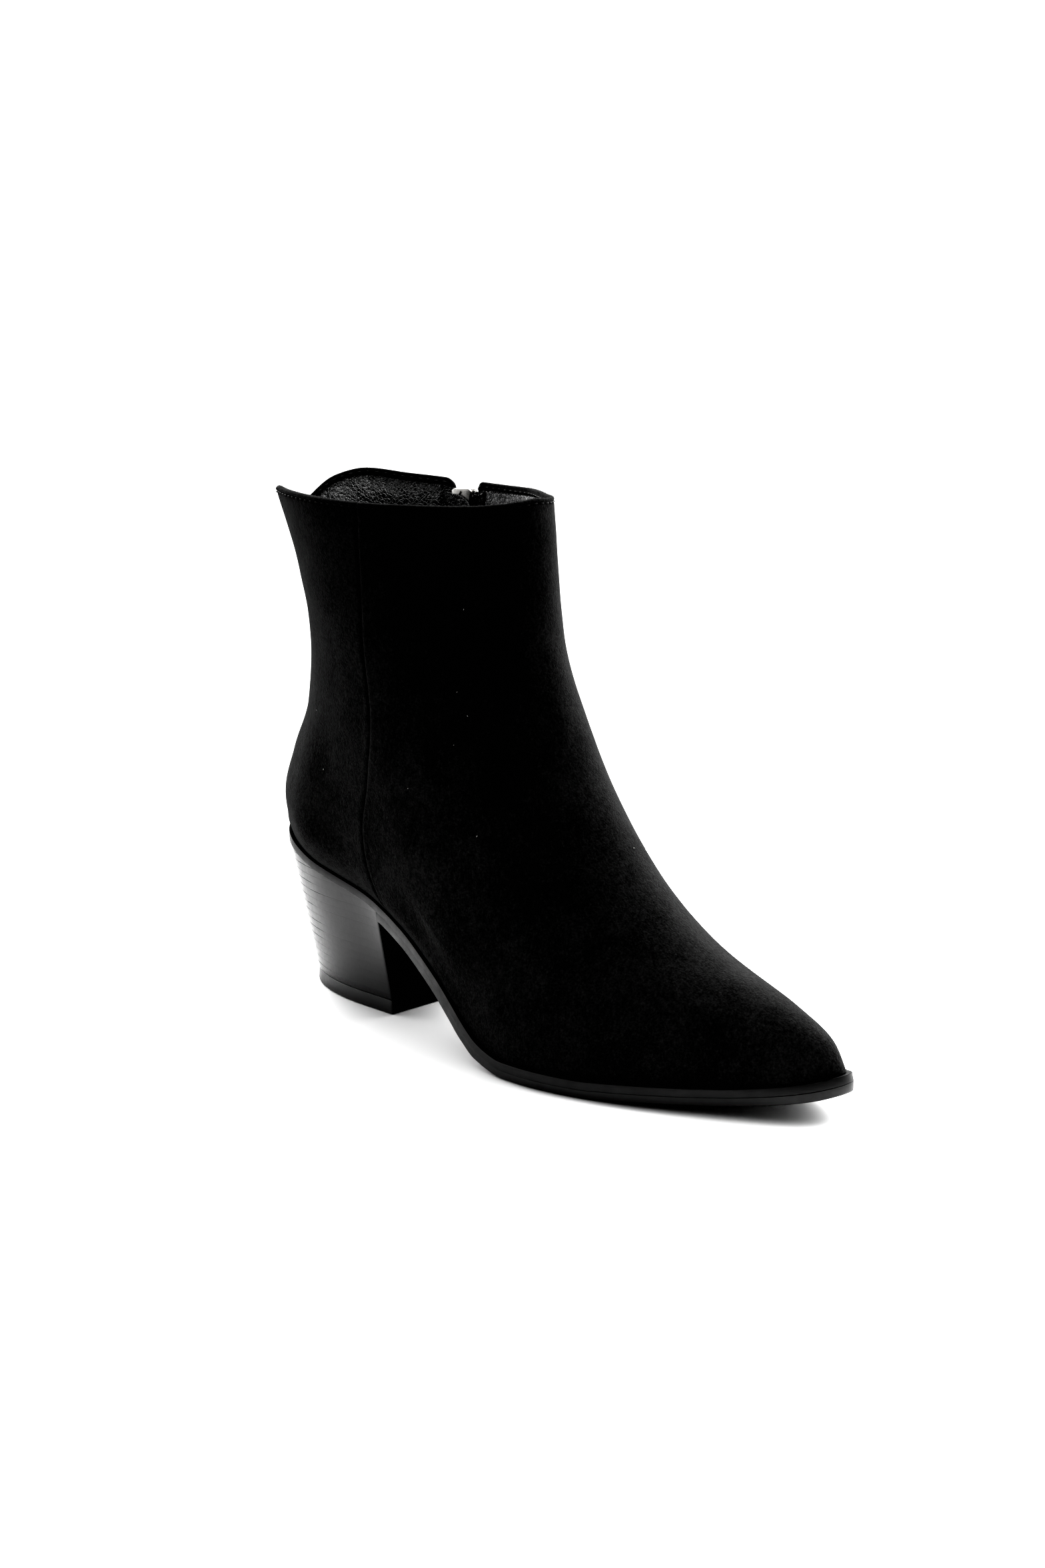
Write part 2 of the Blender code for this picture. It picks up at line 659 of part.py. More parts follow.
def build_slider(collection, cutters):
    """Metal slider of two plates on a wedge, with the bridge that holds the pull."""
    frame = slider_frame()
    face = 0.5 * SLIDER_ROOM + 0.5 * SLIDER_PLATE
    outer_face = 0.5 * SLIDER_ROOM + SLIDER_PLATE
    plate = (SLIDER_TOP_WIDTH, SLIDER_LENGTH, SLIDER_PLATE)
    slider = block("zip_slider", plate, (0, 0, face), collection, SLIDER_TAPER)
    slider.data.materials.append(material("zip_slider"))
    leg_y = 0.5 * (BRIDGE_LENGTH - BRIDGE_BAR)
    leg_size = (BRIDGE_WIDTH, BRIDGE_BAR, BRIDGE_ROOM + BRIDGE_BAR + JOIN_DEPTH)
    leg_z = outer_face - JOIN_DEPTH + 0.5 * leg_size[2]
    top_size = (BRIDGE_WIDTH, BRIDGE_LENGTH, BRIDGE_BAR)
    wedge_size = (WEDGE_WIDTH, WEDGE_LENGTH, SLIDER_ROOM + 2 * JOIN_DEPTH)
    wedge_y = 0.5 * (SLIDER_LENGTH - WEDGE_LENGTH)
    helpers = (
        ("slider_back_plate", plate, (0, 0, -face), SLIDER_TAPER),
        ("slider_wedge", wedge_size, (0, wedge_y, 0), WEDGE_TAPER),
        ("slider_bridge_low_leg", leg_size, (0, -leg_y, leg_z), 1.0),
        ("slider_bridge_high_leg", leg_size, (0, leg_y, leg_z), 1.0),
        ("slider_bridge_top", top_size, (0, 0, outer_face + BRIDGE_ROOM + 0.5 * BRIDGE_BAR), 1.0),
    )
    for name, size, centre, taper in helpers:
        helper = block(name, size, centre, cutters, taper)
        helper.matrix_world = frame
        join_solid(slider, helper, "UNION")
    slider.matrix_world = frame
    return frame


def build_pull(collection, cutters, frame):
    """Pull tab hanging from the bridge. Its origin lies on the bar it turns about."""
    outer_face = 0.5 * SLIDER_ROOM + SLIDER_PLATE
    hinge = frame @ Matrix.Translation(Vector((0, 0, outer_face + 0.5 * BRIDGE_ROOM)) * MM)
    bar = PULL_THICKNESS
    centre_y = 0.5 * bar - 0.5 * PULL_LENGTH
    pull = block("zip_pull", (PULL_WIDTH, PULL_LENGTH, PULL_THICKNESS), (0, centre_y, 0), collection)
    pull.data.materials.append(material("zip_pull"))
    slot_size = (PULL_SLOT_WIDTH, PULL_SLOT_LENGTH, 3 * PULL_THICKNESS)
    slot = block("pull_slot", slot_size, (0, -0.5 * bar - 0.5 * PULL_SLOT_LENGTH, 0), cutters)
    slot.matrix_world = hinge
    join_solid(pull, slot, "DIFFERENCE")
    pull.matrix_world = hinge


def main():
    for thing in list(bpy.data.objects):
        bpy.data.objects.remove(thing)
    scene = bpy.context.scene
    boot = bpy.data.collections.new("pointed_toe_boot")
    cutters = bpy.data.collections.new("cutters")
    scene.collection.children.link(boot)
    scene.collection.children.link(cutters)
    build_upper(boot)
    build_welt(boot)
    build_outsole(boot)
    build_heel(boot)
    build_insole(boot)
    build_zip_tape(boot)
    build_zip_teeth(boot)
    build_zip_guard(boot)
    frame = build_slider(boot, cutters)
    build_pull(boot, cutters, frame)


main()
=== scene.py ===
"""Looks of a pointed toe ankle boot for the right foot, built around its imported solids.

Shapes are worked out in millimetres along the boot: x runs from the back of the heel to the toe, y
towards the inner side of the foot, z up from the floor. Pieces are placed in metres in the solids' frame.
"""

import math

import bmesh
import bpy
import numpy as np
from bpy.props import FloatProperty, FloatVectorProperty, PointerProperty
from mathutils import Matrix, Vector, noise


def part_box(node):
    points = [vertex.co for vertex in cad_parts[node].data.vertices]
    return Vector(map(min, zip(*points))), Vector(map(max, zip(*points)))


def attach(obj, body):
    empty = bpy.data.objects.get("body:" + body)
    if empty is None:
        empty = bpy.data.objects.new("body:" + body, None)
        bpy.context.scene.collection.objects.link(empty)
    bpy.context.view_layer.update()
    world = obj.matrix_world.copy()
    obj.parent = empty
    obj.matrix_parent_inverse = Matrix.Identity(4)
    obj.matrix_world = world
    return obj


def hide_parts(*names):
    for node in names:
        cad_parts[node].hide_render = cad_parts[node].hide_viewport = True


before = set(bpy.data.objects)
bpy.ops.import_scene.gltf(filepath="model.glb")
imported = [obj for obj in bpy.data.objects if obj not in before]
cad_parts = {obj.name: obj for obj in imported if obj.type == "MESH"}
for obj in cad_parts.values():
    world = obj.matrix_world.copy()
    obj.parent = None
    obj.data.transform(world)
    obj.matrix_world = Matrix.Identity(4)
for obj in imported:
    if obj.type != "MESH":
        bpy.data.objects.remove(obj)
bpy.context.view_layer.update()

bl_info = {
    "name": "Pointed toe boot",
    "version": (1, 0, 0),
    "blender": (4, 5, 0),
    "location": "View3D > Sidebar > Boot",
    "description": "Builds the suede, lining, sole, heel and zip of a pointed toe ankle boot",
    "category": "Object",
}

MM = 0.001
LIFT_LOW, LIFT_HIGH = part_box("heel_lift")
ORIGIN = np.array([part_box("welt")[0].x, 0.5 * (LIFT_LOW.y + LIFT_HIGH.y), 0.0])
BOOT = "boot"
PULL = "pull"
# Least divisor, steps for slopes, tolerance of a level, and a distance beyond every line
TINY = 1e-9
SLOPE_STEP = 0.5
NORMAL_STEP = 0.004
COLLAR_STEP = 0.01
LEVEL_TOLERANCE = 1e-6
FAR = 1e3
# Points closer than this are one, and edges shorter than this go, in metres
MERGE_DISTANCE = 1e-7
SHORTEST_EDGE = 1e-8


def named_columns(names, *rows):
    """Columns of a table by name."""
    return dict(zip(names, np.array(rows).T))


# Sole, in millimetres
SOLE_LENGTH = 243.0
GAP = 0.3
WELT_THICKNESS = 2.8
OUTSOLE_THICKNESS = 2.8
OUTSOLE_STEP = 0.2
OUTSOLE_TUCK = 0.8
TUCK_START_X = 115.0
TUCK_LENGTH = 30.0
HEEL_LIFT_THICKNESS = 5.0
HEEL_STEP = 0.5
HEEL_BREAST_X = 64.0
INSOLE_THICKNESS = 2.5
INSOLE_INSET = 5.6
INSOLE_BACK_X = 8.0
INSOLE_FRONT_X = 219.0
INSOLE_END_ROUNDNESS = 0.5
OUTLINE = named_columns(
    ("x", "outer", "inner"),
    (24.5, 25.3, 25.3),
    (61.0, 27.0, 23.5),
    (80.0, 30.6, 21.2),
    (103.0, 35.8, 20.0),
    (127.0, 40.8, 25.0),
    (140.0, 42.3, 29.3),
    (152.0, 42.2, 32.4),
    (176.0, 37.2, 34.4),
    (196.0, 30.0, 28.8),
    (214.0, 21.6, 20.6),
    (230.0, 13.6, 13.2),
)
HEEL_ROUNDNESS = 58.0
TOE_ROUNDNESS = 30.0
TOE_SHIFT = 8.3
TOE_SHIFT_START = 0.45
SOLE_LINE = named_columns(
    ("x", "z"),
    (0.0, 58.4),
    (12.0, 54.0),
    (24.5, 49.8),
    (42.0, 45.8),
    (61.0, 41.4),
    (80.0, 35.4),
    (92.0, 30.0),
    (103.0, 24.3),
    (112.0, 18.6),
    (120.0, 13.1),
    (127.0, 9.0),
    (133.0, 7.1),
    (140.0, 5.9),
    (168.0, 5.9),
    (182.0, 6.8),
    (196.0, 7.8),
    (212.0, 9.1),
    (226.0, 11.0),
    (236.0, 13.2),
    (243.0, 15.4),
)

# Upper: rings from the lower edge (level 0) to the collar (level 1)
RINGS = named_columns(
    ("level", "back_x", "front_x", "front_z", "lean"),
    (0.00, 1.2, 240.4, 15.0, 0.31),
    (0.05, -1.9, 234.9, 23.0, 0.305),
    (0.12, -2.7, 221.0, 31.0, 0.29),
    (0.26, 2.6, 186.2, 43.6, 0.23),
    (0.42, 10.4, 156.2, 66.2, 0.11),
    (0.60, 13.0, 132.7, 99.9, -0.07),
    (0.80, 8.8, 118.2, 136.1, -0.21),
    (1.00, -1.1, 114.6, 182.2, -0.315),
)
WIDTH_SHARES = (0.12, 0.26, 0.42, 0.66, 0.90)
OUTER_WIDTHS = (
    (25.4, 27.2, 34.4, 40.0, 19.6),
    (28.6, 30.2, 34.2, 39.4, 20.8),
    (30.2, 31.9, 34.0, 37.6, 20.9),
    (28.0, 32.3, 34.4, 35.9, 24.0),
    (24.5, 31.7, 34.5, 34.1, 24.2),
    (23.0, 31.0, 34.7, 33.2, 21.8),
    (23.5, 32.2, 36.5, 34.4, 19.8),
    (25.6, 34.7, 39.2, 36.1, 18.4),
)
INNER_WIDTHS = (
    (25.0, 23.8, 19.5, 33.0, 19.6),
    (27.8, 27.0, 23.2, 33.6, 20.8),
    (29.4, 29.4, 26.6, 33.6, 21.4),
    (27.6, 30.8, 30.6, 33.2, 25.0),
    (24.5, 31.2, 33.2, 33.2, 24.4),
    (23.0, 31.0, 34.7, 33.2, 21.8),
    (23.5, 32.2, 36.5, 34.4, 19.8),
    (25.6, 34.7, 39.2, 36.1, 18.4),
)
LOWER_EDGE_SHARE = 0.96
LOWER_EDGE_BLEND = 0.12
# Level below which the outward direction of the upper turns level
LEVELLED_EDGE = 0.03
COLLAR = named_columns(
    ("angle", "outer_z", "inner_z"),
    (0.00, 170.8, 170.8),
    (0.30, 173.0, 178.2),
    (0.55, 177.2, 180.4),
    (0.90, 179.6, 178.8),
    (1.50, 180.0, 177.6),
    (2.30, 180.0, 179.8),
    (math.pi, 182.2, 182.2),
)
UPPER_WALL = 1.8
SEAM_ANGLE = 1.675

# Zip: angles around the upper, levels, and millimetres
ZIP_ANGLE = 2.0 * math.pi - 2.10
ZIP_ROOM_ANGLE = 0.16
ZIP_LOW_LEVEL = 0.17
ZIP_LOW_HALF_GAP = 3.4
ZIP_TOP_HALF_GAP = 5.6
ZIP_FLARE_LEVEL = 0.86
TAPE_THICKNESS = 0.8
TAPE_HALF_WIDTH = 8.5
TAPE_LOW_LEVEL = 0.13
TAPE_TOP_LEVEL = 0.98
TAPE_SHOWING = 1.4
TEETH_HALF_WIDTH = 2.0
SLIDER_LEVEL = 0.955
SLIDER_LENGTH = 9.0
SLIDER_TOP_WIDTH = 8.0
SLIDER_PLATE = 1.1
SLIDER_ROOM = 3.2
BRIDGE_LENGTH = 5.2
BRIDGE_WIDTH = 2.2
BRIDGE_BAR = 0.8
BRIDGE_ROOM = 1.9
PULL_LENGTH = 20.0
PULL_WIDTH = 5.6
PULL_THICKNESS = 1.0
PULL_SLOT_LENGTH = 3.0
PULL_SLOT_WIDTH = 3.2
GUARD_THICKNESS = 0.8
GUARD_REAR_DEPTH = 3.2
GUARD_FRONT_DEPTH = 6.0
GUARD_REAR = -8.0
GUARD_FRONT = 6.0
GUARD_LOW_LEVEL = 0.15
GUARD_TOP_LEVEL = 0.968
GUARD_CORNER = 0.035
GUARD_RAMP = 4.0
GUARD_CORNER_REACH = 7.0

# Outline of the heel's lift, in millimetres
LIFT_BACK_X = 9.1
LIFT_FRONT_X = 66.3
LIFT_HALF_WIDTH = 22.3
LIFT_STRAIGHT_SHARE = 0.75
LIFT_CURVE = 2.2

# Soft troughs (positive depth) and ridges of the suede: middle, direction, half length, half width, depth
CREASES = (
    ((21.0, -25.0, 141.0), (0.40, -0.20, -0.90), 10.0, 4.2, 0.9),
    ((16.5, -20.0, 132.0), (0.45, -0.35, -0.82), 9.0, 5.0, 0.5),
    ((28.0, -29.0, 126.0), (0.30, -0.10, -0.95), 12.0, 4.0, -0.35),
    ((16.0, 22.0, 126.0), (0.50, 0.30, -0.80), 10.0, 5.0, 0.5),
    ((118.0, -22.0, 76.0), (0.75, 0.30, -0.60), 20.0, 5.0, 0.35),
    ((122.0, 22.0, 74.0), (0.75, -0.30, -0.60), 20.0, 5.0, 0.35),
    ((100.0, -34.0, 62.0), (0.80, 0.05, -0.60), 22.0, 6.0, -0.25),
)

# Camera of the photograph
PHOTO_HEIGHT = 2353
FOCAL_PIXELS = 4200.0
CAMERA_AZIMUTH = 45.5
CAMERA_ELEVATION = 13.7
CAMERA_DISTANCE = 0.9349
CAMERA_TARGET = (107.8, 0.0, 85.6)
SENSOR_WIDTH = 36.0


def curve_through(stations, values, at):
    """Cubic curve through a table's points that keeps its rises and falls.

    values has one number for each station, or one row for each station with a number for each place in at.
    """
    stations = np.asarray(stations, float)
    at = np.clip(np.asarray(at, float), stations[0], stations[-1])
    values = np.asarray(values, float)
    if values.ndim == 1:
        values = np.repeat(values[:, None], at.size, axis=1)
    steps = np.diff(stations)[:, None]
    rises = np.diff(values, axis=0) / steps
    slopes = np.zeros_like(values)
    slopes[0] = rises[0]
    slopes[-1] = rises[-1]
    near = 2 * steps[1:] + steps[:-1]
    far = steps[1:] + 2 * steps[:-1]
    same_way = rises[:-1] * rises[1:] > 0
    before = np.where(same_way, rises[:-1], 1.0)
    after = np.where(same_way, rises[1:], 1.0)
    slopes[1:-1] = np.where(same_way, (near + far) / (near / before + far / after), 0.0)
    flat = at.ravel()
    cell = np.clip(np.searchsorted(stations, flat, side="right") - 1, 0, len(stations) - 2)
    place = np.arange(flat.size)
    step = steps[cell, 0]
    u = (flat - stations[cell]) / step
    start = (1 + 2 * u) * (1 - u) ** 2 * values[cell, place]
    start += u * (1 - u) ** 2 * step * slopes[cell, place]
    end = u * u * (3 - 2 * u) * values[cell + 1, place]
    end += u * u * (u - 1) * step * slopes[cell + 1, place]
    return (start + end).reshape(at.shape)


def placed(points):
    """Boot millimetres to metres in the solids' frame."""
    return ORIGIN + np.asarray(points, float) * MM


def sole_top(x):
    """Height of the sole's upper face at length x."""
    return curve_through(SOLE_LINE["x"], SOLE_LINE["z"], x)


def below_sole_top(x, depth):
    """Height of a face below the sole's upper face by depth, measured square to the sole's line."""
    x = np.asarray(x, float)
    slope = (sole_top(x + SLOPE_STEP) - sole_top(x - SLOPE_STEP)) / (2 * SLOPE_STEP)
    return sole_top(x) - depth * np.hypot(1.0, slope)


def above_sole(points):
    """Points with any that are below the sole's upper face lifted to it."""
    points[..., 2] = np.maximum(points[..., 2], sole_top(points[..., 0]) + GAP)
    return points


def centre_line(x):
    """Sideways bend of the boot towards the inner side at the toe."""
    share = (np.asarray(x) / SOLE_LENGTH - TOE_SHIFT_START) / (1 - TOE_SHIFT_START)
    return TOE_SHIFT * np.clip(share, 0.0, 1.0) ** 2


def ellipse_height(share):
    """Half width of a unit ellipse at a share of its length."""
    return 2.0 * np.sqrt(np.clip(share * (1 - share), 0.0, None))


def sole_fullness(side, share):
    """Half width of the sole divided by that of a unit ellipse."""
    shares = OUTLINE["x"] / SOLE_LENGTH
    full = OUTLINE[side] / ellipse_height(shares)
    stations = np.concatenate([[0.0], shares, [1.0]])
    values = np.concatenate([[HEEL_ROUNDNESS], full, [TOE_ROUNDNESS]])
    return curve_through(stations, values, share)


def sole_half_width(side, x):
    """Distance of the sole's edge from the centre line."""
    share = np.clip(np.asarray(x, float) / SOLE_LENGTH, 0.0, 1.0)
    return sole_fullness(side, share) * ellipse_height(share)


def ring_value(name, level):
    """One column of the ring table at any level."""
    return curve_through(RINGS["level"], RINGS[name], level)


def upper_fullness(side, share, level):
    """Half width of a ring divided by that of a unit ellipse."""
    table = np.array(OUTER_WIDTHS if side == "outer" else INNER_WIDTHS)
    shares = np.array(WIDTH_SHARES)
    rows = np.array([curve_through(RINGS["level"], widths, level) for widths in table.T])
    rows = rows / ellipse_height(shares)[:, None]
    stations = np.concatenate([[0.0], shares, [1.0]])
    full = curve_through(stations, np.concatenate([rows[:1], rows, rows[-1:]]), share)
    first = table[0] / ellipse_height(shares)
    lowest = curve_through(stations, np.concatenate([first[:1], first, first[-1:]]), share)
    edge = LOWER_EDGE_SHARE * sole_fullness(side, share)
    return full + (edge - lowest) * np.clip(1 - level / LOWER_EDGE_BLEND, 0.0, None) ** 2


def ring_angle(angle, level, shift):
    """Angle around a ring for one upright line, moved along the boot by shift millimetres."""
    turned = angle + ring_value("lean", level) * np.sin(angle)
    reach = 0.5 * (ring_value("front_x", level) - ring_value("back_x", level)) * np.abs(np.sin(turned))
    forward = np.where(np.sin(turned) > 0, -1.0, 1.0)
    return turned + np.where(shift == 0.0, 0.0, forward * shift / np.maximum(reach, TINY))


def collar_height(turned):
    """Height of the collar at an angle around the ring."""
    away = np.abs(turned - math.pi)
    outer = curve_through(COLLAR["angle"], COLLAR["outer_z"], away)
    inner = curve_through(COLLAR["angle"], COLLAR["inner_z"], away)
    return np.where(turned < math.pi, outer, inner)


def upper_point(angle, level, shift=0.0):
    """Points on the outside of the upper, in millimetres."""
    angle, level, shift = np.broadcast_arrays(np.asarray(angle, float), level, shift)
    shape = angle.shape
    angle, level, shift = angle.ravel(), level.ravel(), shift.ravel()
    turned = ring_angle(angle, level, shift)
    share = 0.5 * (1 + np.cos(turned))
    back = ring_value("back_x", level)
    x = back + share * (ring_value("front_x", level) - back)
    low_back = RINGS["back_x"][0]
    low_z = sole_top(low_back + share * (RINGS["front_x"][0] - low_back)) + GAP
    low_front = RINGS["front_z"][0]
    front_rise = (ring_value("front_z", level) - low_front) / (RINGS["front_z"][-1] - low_front)
    rise = (1 - share) * level + share * front_rise
    outer = upper_fullness("outer", share, level)
    inner = upper_fullness("inner", share, level)
    half = np.where(np.sin(turned) > 0, outer, inner)
    y = centre_line(x) - half * np.sin(turned)
    z = low_z + (collar_height(turned) - low_z) * rise
    return np.stack([x, y, z], -1).reshape(shape + (3,))


def unit(vectors):
    """Vectors scaled to length 1."""
    vectors = np.asarray(vectors, float)
    return vectors / np.maximum(np.linalg.norm(vectors, axis=-1, keepdims=True), TINY)


def upper_normal(angle, level, shift=0.0):
    """Outward direction of the upper's surface, levelled at its lowest edge."""
    level = np.asarray(level, float)
    low = np.maximum(level - NORMAL_STEP, 0.0)
    high = np.minimum(level + NORMAL_STEP, 1.0)
    ahead = upper_point(angle + NORMAL_STEP, level, shift)
    along = ahead - upper_point(angle - NORMAL_STEP, level, shift)
    up = upper_point(angle, high, shift) - upper_point(angle, low, shift)
    normal = unit(np.cross(up, along))
    levelled = np.clip(1 - np.broadcast_to(level, normal.shape[:-1]) / LEVELLED_EDGE, 0.0, 1.0)
    normal[..., 2] *= 1 - levelled
    return unit(normal)


def upper_inside(angle, level, depth, shift=0.0):
    """Points below the upper's surface by depth, kept above the sole."""
    inward = np.asarray(depth)[..., None] * upper_normal(angle, level, shift)
    return above_sole(upper_point(angle, level, shift) - inward)


def smooth_step(low, high, value):
    """Rises softly from 0 at low to 1 at high."""
    share = np.clip((np.asarray(value, float) - low) / (high - low), 0.0, 1.0)
    return share * share * (3 - 2 * share)


def soft_noise(points, size):
    """Smooth noise between about -1 and 1 with bumps of the given size."""
    flat = np.asarray(points, float).reshape(-1, 3) / size
    values = np.array([noise.noise(Vector(point)) for point in flat])
    return values.reshape(np.shape(points)[:-1])


def line_run(line):
    """Distance along a line at each of its points."""
    return np.concatenate([[0.0], np.cumsum(np.linalg.norm(np.diff(line, axis=0), axis=1))])


def line_at(line, run, at):
    """Points or directions given along a line, at any distances along it."""
    return np.stack([np.interp(at, run, line[:, axis]) for axis in range(3)], -1)


def rounded_edge(distance, radius):
    """Share of the full thickness at a distance from a rounded edge."""
    into = 1 - np.clip(np.asarray(distance, float) / radius, 0.0, 1.0)
    return np.sqrt(np.clip(1 - into ** 2, 0.0, 1.0))


def zip_half_gap(level):
    """Half the opening between the two suede edges of the zip."""
    flare = np.clip((np.asarray(level, float) - ZIP_FLARE_LEVEL) / (1 - ZIP_FLARE_LEVEL), 0.0, None)
    return ZIP_LOW_HALF_GAP + (ZIP_TOP_HALF_GAP - ZIP_LOW_HALF_GAP) * flare ** 2


def show(name, mesh, material, body, replaced=(), sharp=40.0):
    """Puts a mesh into the scene as a piece that rides on a body."""
    mesh.name = name
    mesh.shade_smooth()
    mesh.set_sharp_from_angle(angle=math.radians(sharp))
    mesh.materials.clear()
    mesh.materials.append(material)
    piece = bpy.data.objects.new(name, mesh)
    bpy.context.scene.collection.objects.link(piece)
    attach(piece, body)
    if replaced:
        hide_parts(*replaced)
    return piece


def second_material(piece, material, direction, facing):
    """Gives a second material to the faces that are turned towards a direction."""
    piece.data.materials.append(material)
    for face in piece.data.polygons:
        face.material_index = int(face.normal.dot(Vector(direction)) > facing)


def mesh_of(points, faces):
    """Mesh of points in metres, with doubles merged and its faces turned outwards."""
    mesh = bpy.data.meshes.new("piece")
    mesh.from_pydata(np.asarray(points).tolist(), [], faces)
    shape = bmesh.new()
    shape.from_mesh(mesh)
    loose = [vertex for vertex in shape.verts if not vertex.link_faces]
    bmesh.ops.delete(shape, geom=loose, context="VERTS")
    bmesh.ops.remove_doubles(shape, verts=shape.verts, dist=MERGE_DISTANCE)
    bmesh.ops.dissolve_degenerate(shape, edges=shape.edges, dist=SHORTEST_EDGE)
    bmesh.ops.recalc_face_normals(shape, faces=shape.faces)
    shape.to_mesh(mesh)
    shape.free()
    return mesh


def sheet_mesh(front, back, closed=False, missing=()):
    """Solid sheet between two grids of points in millimetres, walled along every open edge."""
    rows, columns = front.shape[:2]
    points = np.concatenate([placed(front).reshape(-1, 3), placed(back).reshape(-1, 3)])
    cell_columns = columns if closed else columns - 1
    kept = {(i, j) for i in range(rows - 1) for j in range(cell_columns)} - set(missing)
    layer = rows * columns
    faces = []
    for i, j in sorted(kept):
        right = (j + 1) % columns
        corners = (i * columns + j, i * columns + right, (i + 1) * columns + right, (i + 1) * columns + j)
        faces.append(corners)
        faces.append(tuple(layer + corner for corner in reversed(corners)))
        beside = ((i - 1, j), (i, right), (i + 1, j), (i, (j - 1) % columns))
        for k, other in enumerate(beside):
            if other not in kept:
                start = corners[k]
                end = corners[(k + 1) % 4]
                faces.append((end, start, layer + start, layer + end))
    return mesh_of(points, faces)


def band_faces(count, size):
    """Faces between closed rings that follow each other, each of the same number of points."""
    faces = []
    for i in range(count - 1):
        for j in range(size):
            right = (j + 1) % size
            faces.append((i * size + j, i * size + right, (i + 1) * size + right, (i + 1) * size + j))
    return faces


def loft_mesh(loops):
    """Solid through closed loops in millimetres, each from the back middle round by the front middle."""
    loops = np.asarray(loops, float)
    count, size = loops.shape[:2]
    half = size // 2
    faces = band_faces(count, size)
    for start in (0, (count - 1) * size):
        faces.append((start, start + 1, start + size - 1))
        faces.append((start + half - 1, start + half, start + half + 1))
        for j in range(1, half - 1):
            faces.append((start + j, start + j + 1, start + size - j - 1, start + size - j))
    return mesh_of(placed(loops.reshape(-1, 3)), faces)


def tube_points(path, normals, radius, sides):
    """Rings of points along a path, with faces that close both ends."""
    path = np.asarray(path, float)
    tangent = unit(np.gradient(path, axis=0))
    side = unit(np.cross(tangent, normals))
    up = np.cross(side, tangent)
    around = np.linspace(0.0, 2 * math.pi, sides, endpoint=False)
    radius = np.broadcast_to(radius, (len(path),))[:, None, None]
    turned = np.cos(around)[:, None] * side[:, None] + np.sin(around)[:, None] * up[:, None]
    rings = path[:, None] + radius * turned
    faces = band_faces(len(path), sides)
    faces.append(tuple(range(sides)))
    faces.append(tuple((len(path) - 1) * sides + j for j in range(sides)))
    return rings.reshape(-1, 3), faces


def parts_mesh(parts):
    """One mesh of many small shapes in millimetres."""
    points = []
    faces = []
    start = 0
    for part_points, part_faces in parts:
        points.append(part_points)
        faces.extend(tuple(start + k for k in face) for face in part_faces)
        start += len(part_points)
    return mesh_of(placed(np.concatenate(points)), faces)


def shaded(colour, share):
    """Colour made darker or lighter by a share."""
    return (colour[0] * share, colour[1] * share, colour[2] * share, 1.0)


class Nodes:
    """Nodes of a material or of the world, added and linked one by one."""

    def __init__(self, tree):
        self.tree = tree

    def add(self, kind, values=None, **settings):
        """Node with its inputs and settings."""
        made = self.tree.nodes.new(kind)
        for name, value in settings.items():
            setattr(made, name, value)
        for name, value in (values or {}).items():
            made.inputs[name].default_value = value
        return made

    def link(self, output, socket):
        """Joins an output to an input."""
        self.tree.links.new(output, socket)

    def mapped(self, value, span, result, kind="LINEAR"):
        """Value moved from one span of numbers to another."""
        values = dict(zip(("From Min", "From Max", "To Min", "To Max"), span + result))
        made = self.add("ShaderNodeMapRange", values, interpolation_type=kind)
        self.link(value, made.inputs["Value"])
        return made.outputs["Result"]

    def reckoned(self, operation, first, second):
        """Two values taken together, the second a value or a plain number."""
        made = self.add("ShaderNodeMath", operation=operation)
        self.link(first, made.inputs[0])
        if isinstance(second, float):
            made.inputs[1].default_value = second
        else:
            self.link(second, made.inputs[1])
        return made.outputs["Value"]

    def mixed(self, first, second, share):
        """Mean of two values, share of it from the second."""
        made = self.add("ShaderNodeMix", {"Factor": share}, data_type="FLOAT")
        self.link(first, made.inputs["A"])
        self.link(second, made.inputs["B"])
        return made.outputs["Result"]


class Finish(Nodes):
    """Material with one shader, its uniform values set on the shader's own sockets."""

    def __init__(self, name, colour, values):
        self.material = bpy.data.materials.new(name)
        self.material.use_nodes = True
        super().__init__(self.material.node_tree)
        self.colour = tuple(colour)
        self.normal = None
        self.shader = self.tree.nodes["Principled BSDF"]
        self.shader.inputs["Base Color"].default_value = self.colour
        for socket, value in values.items():
            self.shader.inputs[socket].default_value = value

    def drive(self, socket, value):
        """Lets a value drive one socket of the shader."""
        self.link(value, self.shader.inputs[socket])

    def place(self, stretch=(1.0, 1.0, 1.0)):
        """Place on the piece in metres, stretched along its axes."""
        place = self.add("ShaderNodeTexCoord")
        mapping = self.add("ShaderNodeMapping", {"Scale": stretch})
        self.link(place.outputs["Object"], mapping.inputs["Vector"])
        return mapping.outputs["Vector"]

    def grain(self, place, scale, detail=2.0, roughness=0.55, distortion=0.0):
        """Noise of a given scale per metre."""
        values = {"Scale": scale, "Detail": detail, "Roughness": roughness, "Distortion": distortion}
        made = self.add("ShaderNodeTexNoise", values)
        self.link(place, made.inputs["Vector"])
        return made.outputs["Fac"]

    def tone(self, value, dark, light, low=0.3, high=0.7):
        """Base colour between a darker and a lighter share of the material's colour, by a value."""
        ramp = self.add("ShaderNodeValToRGB")
        for element, position, share in zip(ramp.color_ramp.elements, (low, high), (dark, light)):
            element.position = position
            element.color = shaded(self.colour, share)
        self.link(value, ramp.inputs["Fac"])
        self.drive("Base Color", ramp.outputs["Color"])

    def bump(self, height, distance, strength):
        """Bump of a height in metres, laid over the bump before it."""
        made = self.add("ShaderNodeBump", {"Strength": strength, "Distance": distance})
        self.link(height, made.inputs["Height"])
        if self.normal is not None:
            self.link(self.normal, made.inputs["Normal"])
        self.normal = made.outputs["Normal"]
        self.drive("Normal", self.normal)


